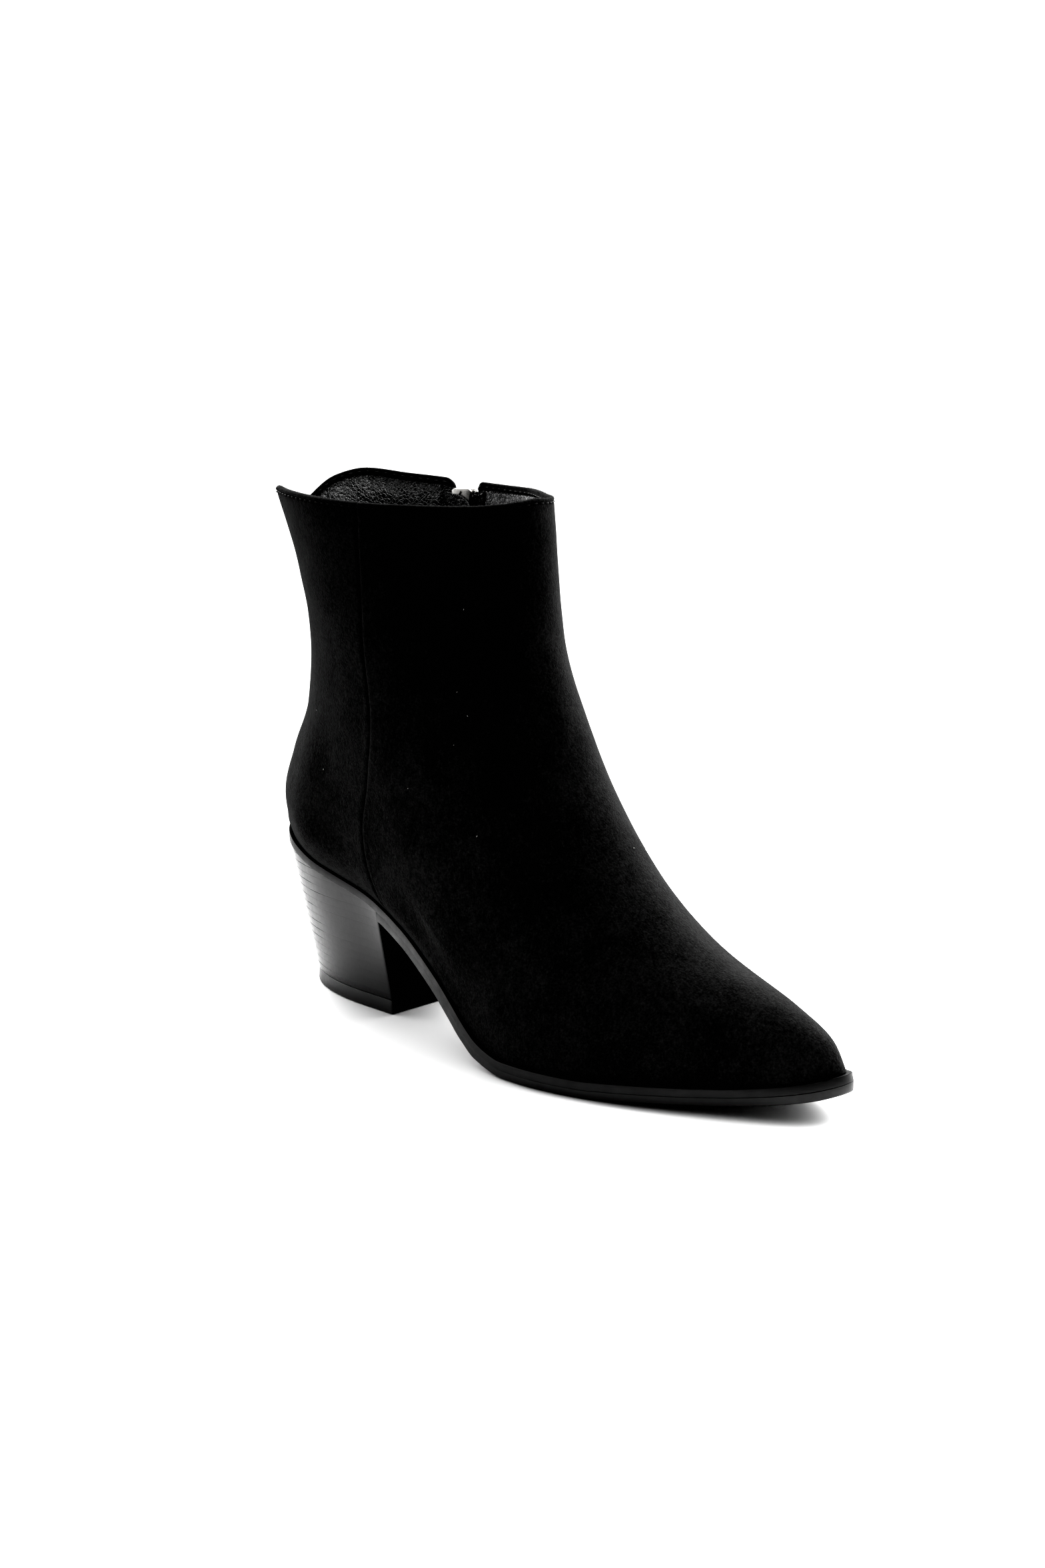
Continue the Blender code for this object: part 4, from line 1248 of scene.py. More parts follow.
# Rounded edge of a plate in shares of its radius: set in from the side and distance from the face
ROUND_EDGE = ((1.0, 0.0), (0.62, 0.08), (0.29, 0.29), (0.08, 0.62), (0.0, 1.0))
PLATE_FACE_INSET = 1.2
JOINT_GAP = 0.08
JOINT_ROUND = 0.14
EDGE_ROUND = 0.45
WELT_ROUND = 0.25
# At the toe the welt leans in towards its top and the outsole runs straight down
TOE_LEAN = 0.6
TOE_LEAN_START_X = 212.0
TOE_LEAN_END_X = 240.0
WELT_TOP_FACING = 0.7


def plate_mesh(outline, thickness, top_round, low_round, height, set_in=None):
    """Solid plate with rounded edges inside an outline.

    height gives z from x and the drop below the plate's top, and set_in the inset at a drop.
    """
    rows = [(PLATE_FACE_INSET, 0.0)]
    rows += [(top_round * inset, top_round * drop) for inset, drop in ROUND_EDGE]
    rows += [(0.0, 0.5 * thickness)]
    rows += [(low_round * inset, thickness - low_round * drop) for inset, drop in reversed(ROUND_EDGE)]
    rows += [(PLATE_FACE_INSET, thickness)]
    loops = []
    for inset, drop in rows:
        loop = inset_loop(outline, inset + (set_in(drop) if set_in else 0.0))
        loop[:, 0] = np.maximum(loop[:, 0], outline[:, 0].min())
        loop[:, 2] = height(loop[:, 0], drop)
        loops.append(loop)
    return loft_mesh(loops)


class BOOT_OT_sole(bpy.types.Operator):
    """Welt and outsole with rounded edges, and the footbed inside"""

    bl_idname = "boot.sole"
    bl_label = "Sole"

    def execute(self, context):
        colours = context.scene.boot_colours
        edge = edge_material("welt_edge", colours.sole_edge, roughness=0.48, specular=0.6)
        tread = edge_material("outsole_edge", shaded(colours.sole_edge, 0.8), roughness=0.46, specular=0.7)
        welt = show("welt_band", self.welt(), edge, BOOT, ["welt"])
        matt = edge_material("welt_top", colours.sole_edge, roughness=0.75, specular=0.15)
        second_material(welt, matt, (0.0, 0.0, 1.0), WELT_TOP_FACING)
        show("outsole_band", self.outsole(), tread, BOOT, ["outsole"])
        show("footbed", self.footbed(), lining_material(colours), BOOT, ["insole"])
        return {"FINISHED"}

    def welt(self):
        """Upper band of the sole edge."""
        outline = sole_loop()
        at_toe = smooth_step(TOE_LEAN_START_X, TOE_LEAN_END_X, outline[:, 0])

        def set_in(drop):
            return TOE_LEAN * at_toe * (1 - drop / WELT_THICKNESS)

        return plate_mesh(outline, WELT_THICKNESS, WELT_ROUND, JOINT_ROUND, below_sole_top, set_in)

    def outsole(self):
        """Lower band of the sole edge and the tread."""
        outline = outsole_loop()
        thickness = OUTSOLE_THICKNESS + GAP - JOINT_GAP
        behind_toe = 1 - smooth_step(TOE_LEAN_START_X, TOE_LEAN_END_X, outline[:, 0])
        tuck = OUTSOLE_TUCK * np.clip((outline[:, 0] - TUCK_START_X) / TUCK_LENGTH, 0.0, 1.0)

        def set_in(drop):
            return (OUTSOLE_STEP + tuck * drop / thickness) * behind_toe

        def height(x, drop):
            return below_sole_top(x, WELT_THICKNESS + JOINT_GAP + drop)

        return plate_mesh(outline, thickness, JOINT_ROUND, EDGE_ROUND, height, set_in)

    def footbed(self):
        """Thin insole on the welt."""
        def height(x, drop):
            return sole_top(x) + GAP + INSOLE_THICKNESS - drop

        return plate_mesh(footbed_loop(), INSOLE_THICKNESS, EDGE_ROUND, EDGE_ROUND, height)


HEEL_SIDE_STATIONS = 60
BREAST_STATIONS = 16
BREAST_CORNER = 0.9
CORNER_STATIONS = 7
BREAST_FACING = 0.75
HEEL_LOW = HEEL_LIFT_THICKNESS + JOINT_GAP
HEEL_FACE_INSET = 0.5
# Power that brings the heel's stations closer together at its back
HEEL_CLOSENESS = 1.2
HEEL_SHARP = 50.0
# Lines between the layers: rows across a groove in half widths, plain rows in shares of a layer
GROOVE_HALF_WIDTH = 0.13
GROOVE_ROWS = (-2, -1, 0, 1, 2)
LAYER_ROWS = (0.35, 0.65)
# The grooves fade along the heel by a share, and are broken by a noise of its own for each layer
GROOVE_FADE = 0.85
GROOVE_FADE_START_X = 10.0
GROOVE_FADE_END_X = 42.0
GROOVE_LEAST = 0.25
BREAK_SIZE = 7.0
BREAK_LOW = -0.25
BREAK_HIGH = 0.35
BREAK_STEP = 40.0


def lift_outline(share):
    """Half width of the heel's lower end at a share of its length."""
    bend = 1 - (1 - np.clip(share / LIFT_STRAIGHT_SHARE, 0.0, 1.0)) ** LIFT_CURVE
    return LIFT_HALF_WIDTH * np.sqrt(np.clip(bend, 0.0, None))


def heel_seat(x):
    """Height of the heel's upper end at length x."""
    return below_sole_top(x, WELT_THICKNESS + JOINT_GAP)


def respaced(line, count):
    """Line with a fixed number of points, closer together at its start."""
    run = line_run(line[:, :2])
    return line_at(line, run, run[-1] * np.linspace(0.0, 1.0, count) ** HEEL_CLOSENESS)


def heel_loop(level):
    """Outline of the heel at a height above the floor, up to its seat, with rounded breast corners."""
    share = 1 - np.cos(np.linspace(0.0, 0.5 * math.pi, HEEL_SIDE_STATIONS))
    seat_x = HEEL_STEP + (HEEL_BREAST_X - HEEL_STEP) * share
    seat_z = heel_seat(seat_x)
    low_x = LIFT_BACK_X + (LIFT_FRONT_X - LIFT_BACK_X) * share
    low_half = lift_outline(share)
    height = np.clip((level - HEEL_LOW) / (seat_z - HEEL_LOW), 0.0, 1.0)
    x = low_x + (seat_x - low_x) * height
    z = HEEL_LOW + (seat_z - HEEL_LOW) * height
    turn = np.linspace(0.0, 1.0, CORNER_STATIONS)[:, None]
    sides = []
    for side, sign in SIDES:
        seat_half = np.maximum(sole_half_width(side, seat_x) - HEEL_STEP, 0.0)
        seat_half[0] = 0.0
        half = low_half + (seat_half - low_half) * height
        line = np.stack([x, sign * half, z], -1)
        corner = line[-1]
        kept = line[line[:, 0] < corner[0] - BREAST_CORNER]
        start = corner - np.array([BREAST_CORNER, 0.0, 0.0])
        start[1:] = [np.interp(start[0], line[:, 0], line[:, axis]) for axis in (1, 2)]
        end = corner - np.array([0.0, sign * BREAST_CORNER, 0.0])
        arc = (1 - turn) ** 2 * start + 2 * turn * (1 - turn) * corner + turn ** 2 * end
        across = np.linspace(end[1], 0.0, BREAST_STATIONS)[1:]
        breast = np.stack([np.full_like(across, corner[0]), across, np.full_like(across, corner[2])], -1)
        sides.append(np.concatenate([respaced(kept, HEEL_SIDE_STATIONS), arc, breast]))
    return two_sided_loop(*sides)


class BOOT_OT_heel(bpy.types.Operator):
    """Stacked heel with fine lines between its layers, and the lift below it"""

    bl_idname = "boot.heel"
    bl_label = "Heel"

    def execute(self, context):
        colours = context.scene.boot_colours
        breast = matt_material("heel_breast", colours.breast)
        layers = stacked_material(colours)
        rubber = edge_material("lift_rubber", colours.lift, roughness=0.42, specular=0.6)
        block = self.stack(context.scene.boot_sizes)
        stack = show("heel_stack", block, layers, BOOT, ["heel_block"], HEEL_SHARP)
        lift = show("heel_top_piece", self.lift(), rubber, BOOT, ["heel_lift"], HEEL_SHARP)
        for piece in (stack, lift):
            second_material(piece, breast, (1.0, 0.0, 0.0), BREAST_FACING)
        return {"FINISHED"}

    def stack(self, sizes):
        """Heel block with level grooves between its layers that fade towards the front."""
        high = float(heel_seat(HEEL_STEP))
        pitch = sizes.heel_layer / MM
        groove = sizes.layer_groove / MM
        rows = [(high, HEEL_FACE_INSET, 0), (high, 0.0, 0), (HEEL_LOW + JOINT_ROUND, 0.0, 0)]
        rows += [(HEEL_LOW, JOINT_ROUND, 0), (HEEL_LOW, HEEL_FACE_INSET, 0)]
        for k in range(1, int((high - HEEL_LOW) / pitch) + 1):
            line = HEEL_LOW + pitch * k
            rows += [(line + row * GROOVE_HALF_WIDTH, 0.0, 0 if row else k) for row in GROOVE_ROWS]
            rows += [(line + share * pitch, 0.0, 0) for share in LAYER_ROWS]
        rows = [row for row in rows if row[0] <= high]
        rows.sort(key=lambda row: (-row[0], -row[1] if row[0] == high else row[1]))
        loops = []
        for level, inset, layer in rows:
            loop = heel_loop(level)
            depth = np.full(len(loop), inset)
            if layer:
                below_seat = loop[:, 2] > level - 0.5 * GROOVE_HALF_WIDTH
                depth += groove * self.groove_share(loop, layer) * below_seat
            loops.append(inset_loop(loop, depth))
        mesh = loft_mesh(loops)
        self.mark(mesh, pitch)
        return mesh

    def groove_share(self, loop, layer):
        """Share of the full depth of a layer's groove along its loop."""
        fade = 1 - GROOVE_FADE * smooth_step(GROOVE_FADE_START_X, GROOVE_FADE_END_X, loop[:, 0])
        along = np.stack([loop[:, 0], loop[:, 1], np.full(len(loop), BREAK_STEP * layer)], -1)
        broken = smooth_step(BREAK_LOW, BREAK_HIGH, soft_noise(along, BREAK_SIZE))
        return fade * (GROOVE_LEAST + (1 - GROOVE_LEAST) * broken)

    def mark(self, mesh, pitch):
        """Writes each point's layer and its place around the heel, for the streaks of the finish."""
        points = np.array([vertex.co for vertex in mesh.vertices])
        boot = (points - ORIGIN) / MM
        layer = (boot[:, 2] - HEEL_LOW) / pitch
        middle = 0.5 * (LIFT_BACK_X + LIFT_FRONT_X)
        around = np.arctan2(boot[:, 1], boot[:, 0] - middle)
        for name, values in (("layer", layer), ("around", around)):
            attribute = mesh.attributes.new(name, "FLOAT", "POINT")
            attribute.data.foreach_set("value", values.astype(np.float32))

    def lift(self):
        """Top piece under the heel."""
        def height(x, drop):
            return np.full_like(x, HEEL_LIFT_THICKNESS - drop)

        return plate_mesh(heel_loop(HEEL_LOW), HEEL_LIFT_THICKNESS, JOINT_ROUND, EDGE_ROUND, height)


TAPE_SHARES = (0.0, 0.1, 0.5, 0.9, 1.0)
TAPE_LOW_ROWS = 5
TAPE_ROWS = 90
# Faces of the tape turned this far towards the inside of the boot are lined
LINED_FACING = 0.6
# One tooth: size across, along and out of the zip, its rounding, and its distance from the middle
TOOTH_SIZE = (2.5, 0.62, 1.9)
TOOTH_ROUND = 0.2
TOOTH_ASIDE = 0.68
TEETH_END_LEVELS = 0.014
TEETH_DEPTH = UPPER_WALL + GAP + 0.5 * TAPE_THICKNESS
GUARD_ROWS = 70
GUARD_CORNER_ROWS = 14
GUARD_COLUMNS = 17
# Outlines of the slider's smaller parts: across the zip and up along it
SLIDER_WEDGE = ((1.3, 4.3), (0.5, 1.2), (-0.5, 1.2), (-1.3, 4.3))
SLIDER_FLANGE = ((3.85, 3.2), (3.35, 3.2), (2.3, -4.0), (2.8, -4.0))
SLIDER_RECESS = ((0.0, 3.7), (-0.9, 2.4), (0.0, 1.1), (0.9, 2.4))
SLIDER_LOW_WIDTH = 0.7 * SLIDER_TOP_WIDTH
SLIDER_CORNER = 1.3
SLIDER_BEVEL = 0.3
WEDGE_OVERLAP = 0.4
FLANGE_OVERLAP = 0.3
FLANGE_HEIGHT = 0.55
RECESS_BOTTOM = 0.45
RECESS_OUTSIDE = 0.5
BRIDGE_TURNS = 15
BRIDGE_FULLNESS = 0.55
BRIDGE_FOOT = -0.4
BRIDGE_BEVEL = 0.15
PULL_TOP_WIDTH = 0.86 * PULL_WIDTH
PULL_CORNER = 1.6
PULL_BEVEL = 0.22
SLOT_CORNER = 0.6
HOLE_WIDTH = 2.4
HOLE_LENGTH = 7.0
HOLE_CORNER = 1.19
HOLE_Y = -13.5
CUT_HALF = 2.0
OUTLINE_CORNER_STEPS = 5
BEVEL_SEGMENTS = 2
ROUND_PROFILE = 0.5
SLIDER_STEP = 0.02
METAL_SHARP = 30.0


def zip_sheet(levels, offsets, depth, thickness, missing=()):
    """Thin sheet behind the zip opening. offsets and depth give rows of columns."""
    level = np.repeat(np.asarray(levels)[:, None], offsets.shape[1], 1)
    front = upper_inside(np.full_like(level, ZIP_ANGLE), level, depth, offsets)
    back = upper_inside(np.full_like(level, ZIP_ANGLE), level, depth + thickness, offsets)
    return sheet_mesh(front, back, missing=missing)


def slider_frame():
    """Axes at the slider: across the zip towards the heel, up along it, and out of the boot."""
    origin = placed(upper_inside(ZIP_ANGLE, SLIDER_LEVEL, TEETH_DEPTH))
    outward = Vector(upper_normal(ZIP_ANGLE, SLIDER_LEVEL))
    above = upper_point(ZIP_ANGLE, SLIDER_LEVEL + SLIDER_STEP)
    upward = Vector(above - upper_point(ZIP_ANGLE, SLIDER_LEVEL - SLIDER_STEP))
    across = upward.cross(outward).normalized()
    upward = outward.cross(across).normalized()
    turn = Matrix((across, upward, outward)).transposed()
    return Matrix.Translation(Vector(origin)) @ turn.to_4x4()


def prism(outline, low, high):
    """Closed shape of a flat outline between two heights, in millimetres."""
    count = len(outline)
    points = [(x, y, low) for x, y in outline] + [(x, y, high) for x, y in outline]
    faces = [tuple(range(count - 1, -1, -1)), tuple(range(count, 2 * count))]
    return np.array(points, float), faces + band_faces(2, count)


def rounded_outline(width_top, width_low, length, radius, middle_y=0.0):
    """Four sided outline with rounded corners, wider at one end."""
    corners = ((1, 1, width_top), (-1, 1, width_top), (-1, -1, width_low), (1, -1, width_low))
    outline = []
    for k, (side, end, width) in enumerate(corners):
        x = side * (0.5 * width - radius)
        y = middle_y + end * (0.5 * length - radius)
        for turn in np.linspace(0.0, 0.5 * math.pi, OUTLINE_CORNER_STEPS):
            angle = 0.5 * math.pi * k + turn
            outline.append((x + radius * math.cos(angle), y + radius * math.sin(angle)))
    return outline


def solid(name, part, bevel=0.0):
    """Object of one closed shape in millimetres, its edges rounded, for joining."""
    points, faces = part
    made = bpy.data.objects.new(name, mesh_of(points * MM, faces))
    bpy.context.scene.collection.objects.link(made)
    if bevel:
        modifier = made.modifiers.new("rounded", "BEVEL")
        modifier.width = bevel * MM
        modifier.segments = BEVEL_SEGMENTS
        modifier.limit_method = "ANGLE"
    return made


def united(solids, cutters, place):
    """One mesh from solids joined together and cut, put in its place. The helpers are removed."""
    first = solids[0]
    for helper, operation in [(s, "UNION") for s in solids[1:]] + [(c, "DIFFERENCE") for c in cutters]:
        modifier = first.modifiers.new(helper.name, "BOOLEAN")
        modifier.operation = operation
        modifier.solver = "EXACT"
        modifier.object = helper
    bpy.context.view_layer.update()
    graph = bpy.context.evaluated_depsgraph_get()
    mesh = bpy.data.meshes.new_from_object(first.evaluated_get(graph))
    mesh.transform(place)
    for helper in solids + cutters:
        bpy.data.objects.remove(helper)
    return mesh


class BOOT_OT_zip(bpy.types.Operator):
    """Inside zip: tape, teeth, slider, pull tab and the guard behind them"""

    bl_idname = "boot.zip"
    bl_label = "Zip"

    def execute(self, context):
        colours = context.scene.boot_colours
        cloth = cloth_material("zip_cloth", colours.zip)
        plastic = plastic_material("zip_plastic", colours.zip)
        metal = metal_material("nickel", colours.metal)
        leather = lining_material(colours)
        tape = show("zip_cloth_tape", self.tape(), cloth, BOOT, ["zip_tape"])
        second_material(tape, leather, (0.0, -1.0, 0.0), LINED_FACING)
        teeth = self.teeth(context.scene.boot_sizes)
        show("zip_tooth_rows", teeth, plastic, BOOT, ["zip_teeth"])
        show("zip_guard_flap", self.guard(), leather, BOOT, ["zip_guard"])
        place = slider_frame()
        show("zip_slider_body", self.slider(place), metal, BOOT, ["zip_slider"], METAL_SHARP)
        show("zip_pull_tab", self.pull(place), metal, PULL, ["zip_pull"], METAL_SHARP)
        return {"FINISHED"}

    def tape(self):
        """Woven tapes on both sides of the teeth, joined below them."""
        low = np.linspace(TAPE_LOW_LEVEL, ZIP_LOW_LEVEL, TAPE_LOW_ROWS)
        levels = np.concatenate([low[:-1], np.linspace(ZIP_LOW_LEVEL, TAPE_TOP_LEVEL, TAPE_ROWS)])
        near = np.maximum(TEETH_HALF_WIDTH + GAP, zip_half_gap(levels) - TAPE_SHOWING)
        rear = -TAPE_HALF_WIDTH + np.array(TAPE_SHARES) * (TAPE_HALF_WIDTH - near)[:, None]
        offsets = np.concatenate([rear, -rear[:, ::-1]], 1)
        depth = np.full_like(offsets, UPPER_WALL + GAP)
        middle = len(TAPE_SHARES) - 1
        missing = [(i, middle) for i in range(len(levels) - 1) if levels[i] >= ZIP_LOW_LEVEL]
        return zip_sheet(levels, offsets, depth, TAPE_THICKNESS, missing)

    def tooth(self):
        """Points and faces of one rounded tooth, in millimetres."""
        helper = bmesh.new()
        bmesh.ops.create_cube(helper, size=1.0)
        for vertex in helper.verts:
            vertex.co = vertex.co * Vector(TOOTH_SIZE)
        bmesh.ops.bevel(
            helper, geom=list(helper.edges), offset=TOOTH_ROUND, segments=BEVEL_SEGMENTS, affect="EDGES",
            profile=ROUND_PROFILE)
        helper.verts.ensure_lookup_table()
        points = np.array([vertex.co for vertex in helper.verts])
        faces = [tuple(vertex.index for vertex in face.verts) for face in helper.faces]
        helper.free()
        return points, faces

    def teeth(self, sizes):
        """Two rows of teeth that close into each other."""
        low = ZIP_LOW_LEVEL + TEETH_END_LEVELS
        high = SLIDER_LEVEL - TEETH_END_LEVELS
        length = float(np.linalg.norm(upper_point(ZIP_ANGLE, high) - upper_point(ZIP_ANGLE, low)))
        count = int(length / (0.5 * sizes.tooth_pitch / MM))
        angles = np.full(count, ZIP_ANGLE)
        levels = np.linspace(low, high, count)
        middle = upper_inside(angles, levels, np.full(count, TEETH_DEPTH))
        outward = upper_normal(angles, levels)
        upward = unit(np.gradient(middle, axis=0))
        across = unit(np.cross(upward, outward))
        tooth, faces = self.tooth()
        parts = []
        for k in range(count):
            aside = np.array([TOOTH_ASIDE if k % 2 else -TOOTH_ASIDE, 0.0, 0.0])
            turned = np.stack([across[k], upward[k], outward[k]])
            parts.append((middle[k] + (tooth + aside) @ turned, faces))
        return parts_mesh(parts)

    def guard(self):
        """Flap behind the zip with a rounded top corner."""
        corner_level = GUARD_TOP_LEVEL - GUARD_CORNER
        low = np.linspace(GUARD_LOW_LEVEL, corner_level, GUARD_ROWS)
        turn = np.linspace(0.0, 0.5 * math.pi, GUARD_CORNER_ROWS)[1:]
        levels = np.concatenate([low, GUARD_TOP_LEVEL - GUARD_CORNER * (1 - np.sin(turn))])
        into = np.clip((levels - corner_level) / GUARD_CORNER, 0.0, 1.0)
        front = GUARD_FRONT - GUARD_CORNER_REACH * (1 - np.sqrt(1 - into ** 2))
        offsets = GUARD_REAR + np.linspace(0.0, 1.0, GUARD_COLUMNS) * (front - GUARD_REAR)[:, None]
        ramp = smooth_step(GUARD_REAR, GUARD_REAR + GUARD_RAMP, offsets)
        depth = GUARD_REAR_DEPTH + (GUARD_FRONT_DEPTH - GUARD_REAR_DEPTH) * ramp
        return zip_sheet(levels, offsets, depth, GUARD_THICKNESS)

    def slider(self, place):
        """Slider of two rounded plates on a wedge, with side flanges and an arched bridge."""
        face = 0.5 * SLIDER_ROOM
        outline = rounded_outline(SLIDER_TOP_WIDTH, SLIDER_LOW_WIDTH, SLIDER_LENGTH, SLIDER_CORNER)
        front = solid("slider_front", prism(outline, face, face + SLIDER_PLATE), SLIDER_BEVEL)
        back = solid("slider_back", prism(outline, -face - SLIDER_PLATE, -face), SLIDER_BEVEL)
        wedge = solid("slider_wedge", prism(SLIDER_WEDGE, -face - WEDGE_OVERLAP, face + WEDGE_OVERLAP))
        flanges = []
        for side in (-1, 1):
            line = [(side * x, y) for x, y in SLIDER_FLANGE][::-side]
            for sign in (-1, 1):
                low, high = sorted((sign * (face + FLANGE_OVERLAP), sign * (face - FLANGE_HEIGHT)))
                flanges.append(solid("slider_flange", prism(line, low, high)))
        bridge = solid("slider_bridge", self.bridge(face + SLIDER_PLATE), BRIDGE_BEVEL)
        outside = -face - SLIDER_PLATE - RECESS_OUTSIDE
        recess = solid("slider_recess", prism(SLIDER_RECESS, outside, -face - RECESS_BOTTOM))
        return united([front, back, wedge, bridge] + flanges, [recess], place)

    def bridge(self, base):
        """Arched strap over the pull's bar."""
        half = 0.5 * BRIDGE_LENGTH
        outer = self.arch(half, BRIDGE_ROOM + BRIDGE_BAR)
        inner = self.arch(half - BRIDGE_BAR, BRIDGE_ROOM)
        points, faces = prism(outer + inner[::-1], -0.5 * BRIDGE_WIDTH, 0.5 * BRIDGE_WIDTH)
        turned = np.stack([points[:, 2], points[:, 0], points[:, 1] + base], -1)
        return turned, faces

    def arch(self, half, height):
        """Arch with straight feet, from front to back."""
        turns = np.linspace(0.0, math.pi, BRIDGE_TURNS)
        top = [(half * math.cos(turn), height * math.sin(turn) ** BRIDGE_FULLNESS) for turn in turns]
        return [(half, BRIDGE_FOOT)] + top + [(-half, BRIDGE_FOOT)]

    def pull(self, place):
        """Flat pull tab with rounded ends, a slot for the bridge and a pierced end."""
        half = 0.5 * PULL_THICKNESS
        above = 0.5 * SLIDER_ROOM + SLIDER_PLATE + 0.5 * BRIDGE_ROOM
        hinge = place @ Matrix.Translation(Vector((0.0, 0.0, above * MM)))
        middle_y = half - 0.5 * PULL_LENGTH
        outline = rounded_outline(PULL_TOP_WIDTH, PULL_WIDTH, PULL_LENGTH, PULL_CORNER, middle_y)
        tab = solid("pull_plate", prism(outline, -half, half), PULL_BEVEL)
        slot_y = -half - 0.5 * PULL_SLOT_LENGTH
        slot = rounded_outline(PULL_SLOT_WIDTH, PULL_SLOT_WIDTH, PULL_SLOT_LENGTH, SLOT_CORNER, slot_y)
        hole = rounded_outline(HOLE_WIDTH, HOLE_WIDTH, HOLE_LENGTH, HOLE_CORNER, HOLE_Y)
        shapes = (("pull_slot", slot), ("pull_hole", hole))
        cutters = [solid(name, prism(shape, -CUT_HALF, CUT_HALF)) for name, shape in shapes]
        return united([tab], cutters, hinge)


LINT_COUNT = 12
LINT_SEED = 11
LINT_FRONT_ROOM = 0.15
LINT_LEVELS = (0.06, 0.9)
LINT_REACH = (0.1, 0.3)
LINT_BEND = (-0.4, 0.4)
LINT_HEIGHT = 0.32
LINT_RADIUS = 0.06
LINT_SIDES = 5
LINT_STATIONS = 5


class BOOT_OT_lint(bpy.types.Operator):
    """Few short pale fibres caught in the nap"""

    bl_idname = "boot.lint"
    bl_label = "Lint"

    def execute(self, context):
        draw = np.random.default_rng(LINT_SEED)
        share = np.linspace(-1.0, 1.0, LINT_STATIONS)[:, None]
        parts = []
        for _ in range(LINT_COUNT):
            angle = draw.uniform(LINT_FRONT_ROOM, 2.0 * math.pi - LINT_FRONT_ROOM)
            level = draw.uniform(*LINT_LEVELS)
            normal = upper_normal(angle, level)
            along = unit(np.cross(normal, unit(draw.normal(size=3))))
            side = np.cross(normal, along)
            reach = draw.uniform(*LINT_REACH)
            bend = draw.uniform(*LINT_BEND)
            middle = upper_point(angle, level) + LINT_HEIGHT * normal
            line = middle + reach * (share * along + bend * share ** 2 * side)
            parts.append(tube_points(line, np.repeat(normal[None], len(line), 0), LINT_RADIUS, LINT_SIDES))
        fibre = thread_material("pale_lint", context.scene.boot_colours.lint)
        show("lint", parts_mesh(parts), fibre, BOOT)
        return {"FINISHED"}


NAP_COUNT = 2600
NAP_SEED = 5
NAP_SIDES = 3
NAP_RADIUS = 0.022
NAP_LENGTHS = (0.25, 0.85)
NAP_SPREAD = 0.55
NAP_BEND = 0.5 * NAP_SPREAD
NAP_SHARES = (0.0, 0.5, 1.0)
NAP_TAPER = (1.0, 0.9, 0.3)
# Half thickness and height of the rim that the fibres stand on
RIM_HALF = 0.95
RIM_HEIGHT = 0.8


class BOOT_OT_nap(bpy.types.Operator):
    """Short fibres of the nap that stand out along the collar's rim"""

    bl_idname = "boot.nap"
    bl_label = "Nap"

    def execute(self, context):
        draw = np.random.default_rng(NAP_SEED)
        first = ZIP_ANGLE + ZIP_ROOM_ANGLE - 2 * math.pi
        angle = np.mod(draw.uniform(first, ZIP_ANGLE - ZIP_ROOM_ANGLE, NAP_COUNT), 2 * math.pi)
        around = draw.uniform(0.0, math.pi, NAP_COUNT)[:, None]
        length = draw.uniform(*NAP_LENGTHS, NAP_COUNT)[:, None]
        lean = NAP_SPREAD * draw.normal(size=(NAP_COUNT, 3))
        bend = NAP_BEND * draw.normal(size=(NAP_COUNT, 3))
        top = upper_point(angle, 1.0)
        outward = upper_normal(angle, 1.0)
        upward = unit(top - upper_point(angle, 1.0 - COLLAR_STEP))
        middle = top - 0.5 * RIM_THICKNESS * outward - EDGE_RADIUS * upward
        facing = np.cos(around) * outward + np.sin(around) * upward
        root = middle + RIM_HALF * np.cos(around) * outward + RIM_HEIGHT * np.sin(around) * upward
        direction = unit(facing + lean)
        share = np.array(NAP_SHARES)[:, None]
        thickness = NAP_RADIUS * np.array(NAP_TAPER)
        parts = []
        for k in range(NAP_COUNT):
            line = root[k] + length[k] * (share * direction[k] + share ** 2 * bend[k])
            aside = unit(np.cross(direction[k], upward[k] + outward[k]))
            parts.append(tube_points(line, np.repeat(aside[None], len(line), 0), thickness, NAP_SIDES))
        fibre = thread_material("nap_fibre", context.scene.boot_colours.thread)
        show("rim_nap", parts_mesh(parts), fibre, BOOT)
        return {"FINISHED"}


FLOOR_RADIUS = 0.25
FLOOR_SIDES = 96
FLOOR_DROP = 0.0002
# Soft lights of the studio: name, direction and strength
LIGHTS = (
    ("high_toe_side", (0.496, 0.504, 0.707), 0.8),
    ("high_inner_side", (0.0, 0.707, 0.707), 2.6),
    ("high_back", (-0.504, 0.496, 0.707), 1.9),
    ("high_heel_side", (-0.707, 0.0, 0.707), 0.8),
    ("low_inner_side", (0.0, 0.970, 0.242), 2.0),
    ("low_back", (-0.692, 0.680, 0.242), 4.5),
    ("low_heel_side", (-0.970, 0.0, 0.242), 1.4),
    ("low_outer_side", (-0.66, -0.67, 0.34), 0.5),
    ("overhead", (0.0, 0.0, 1.0), 0.3),
)
# Cosines of the turn from a light's direction between which it goes from nothing to full
LIGHT_SPREAD = (0.70, 0.92)
SURROUND = 0.01
BACKDROP = 1.05
CONTRAST = "Very High Contrast"
BLACK_LEVEL = 0.0125


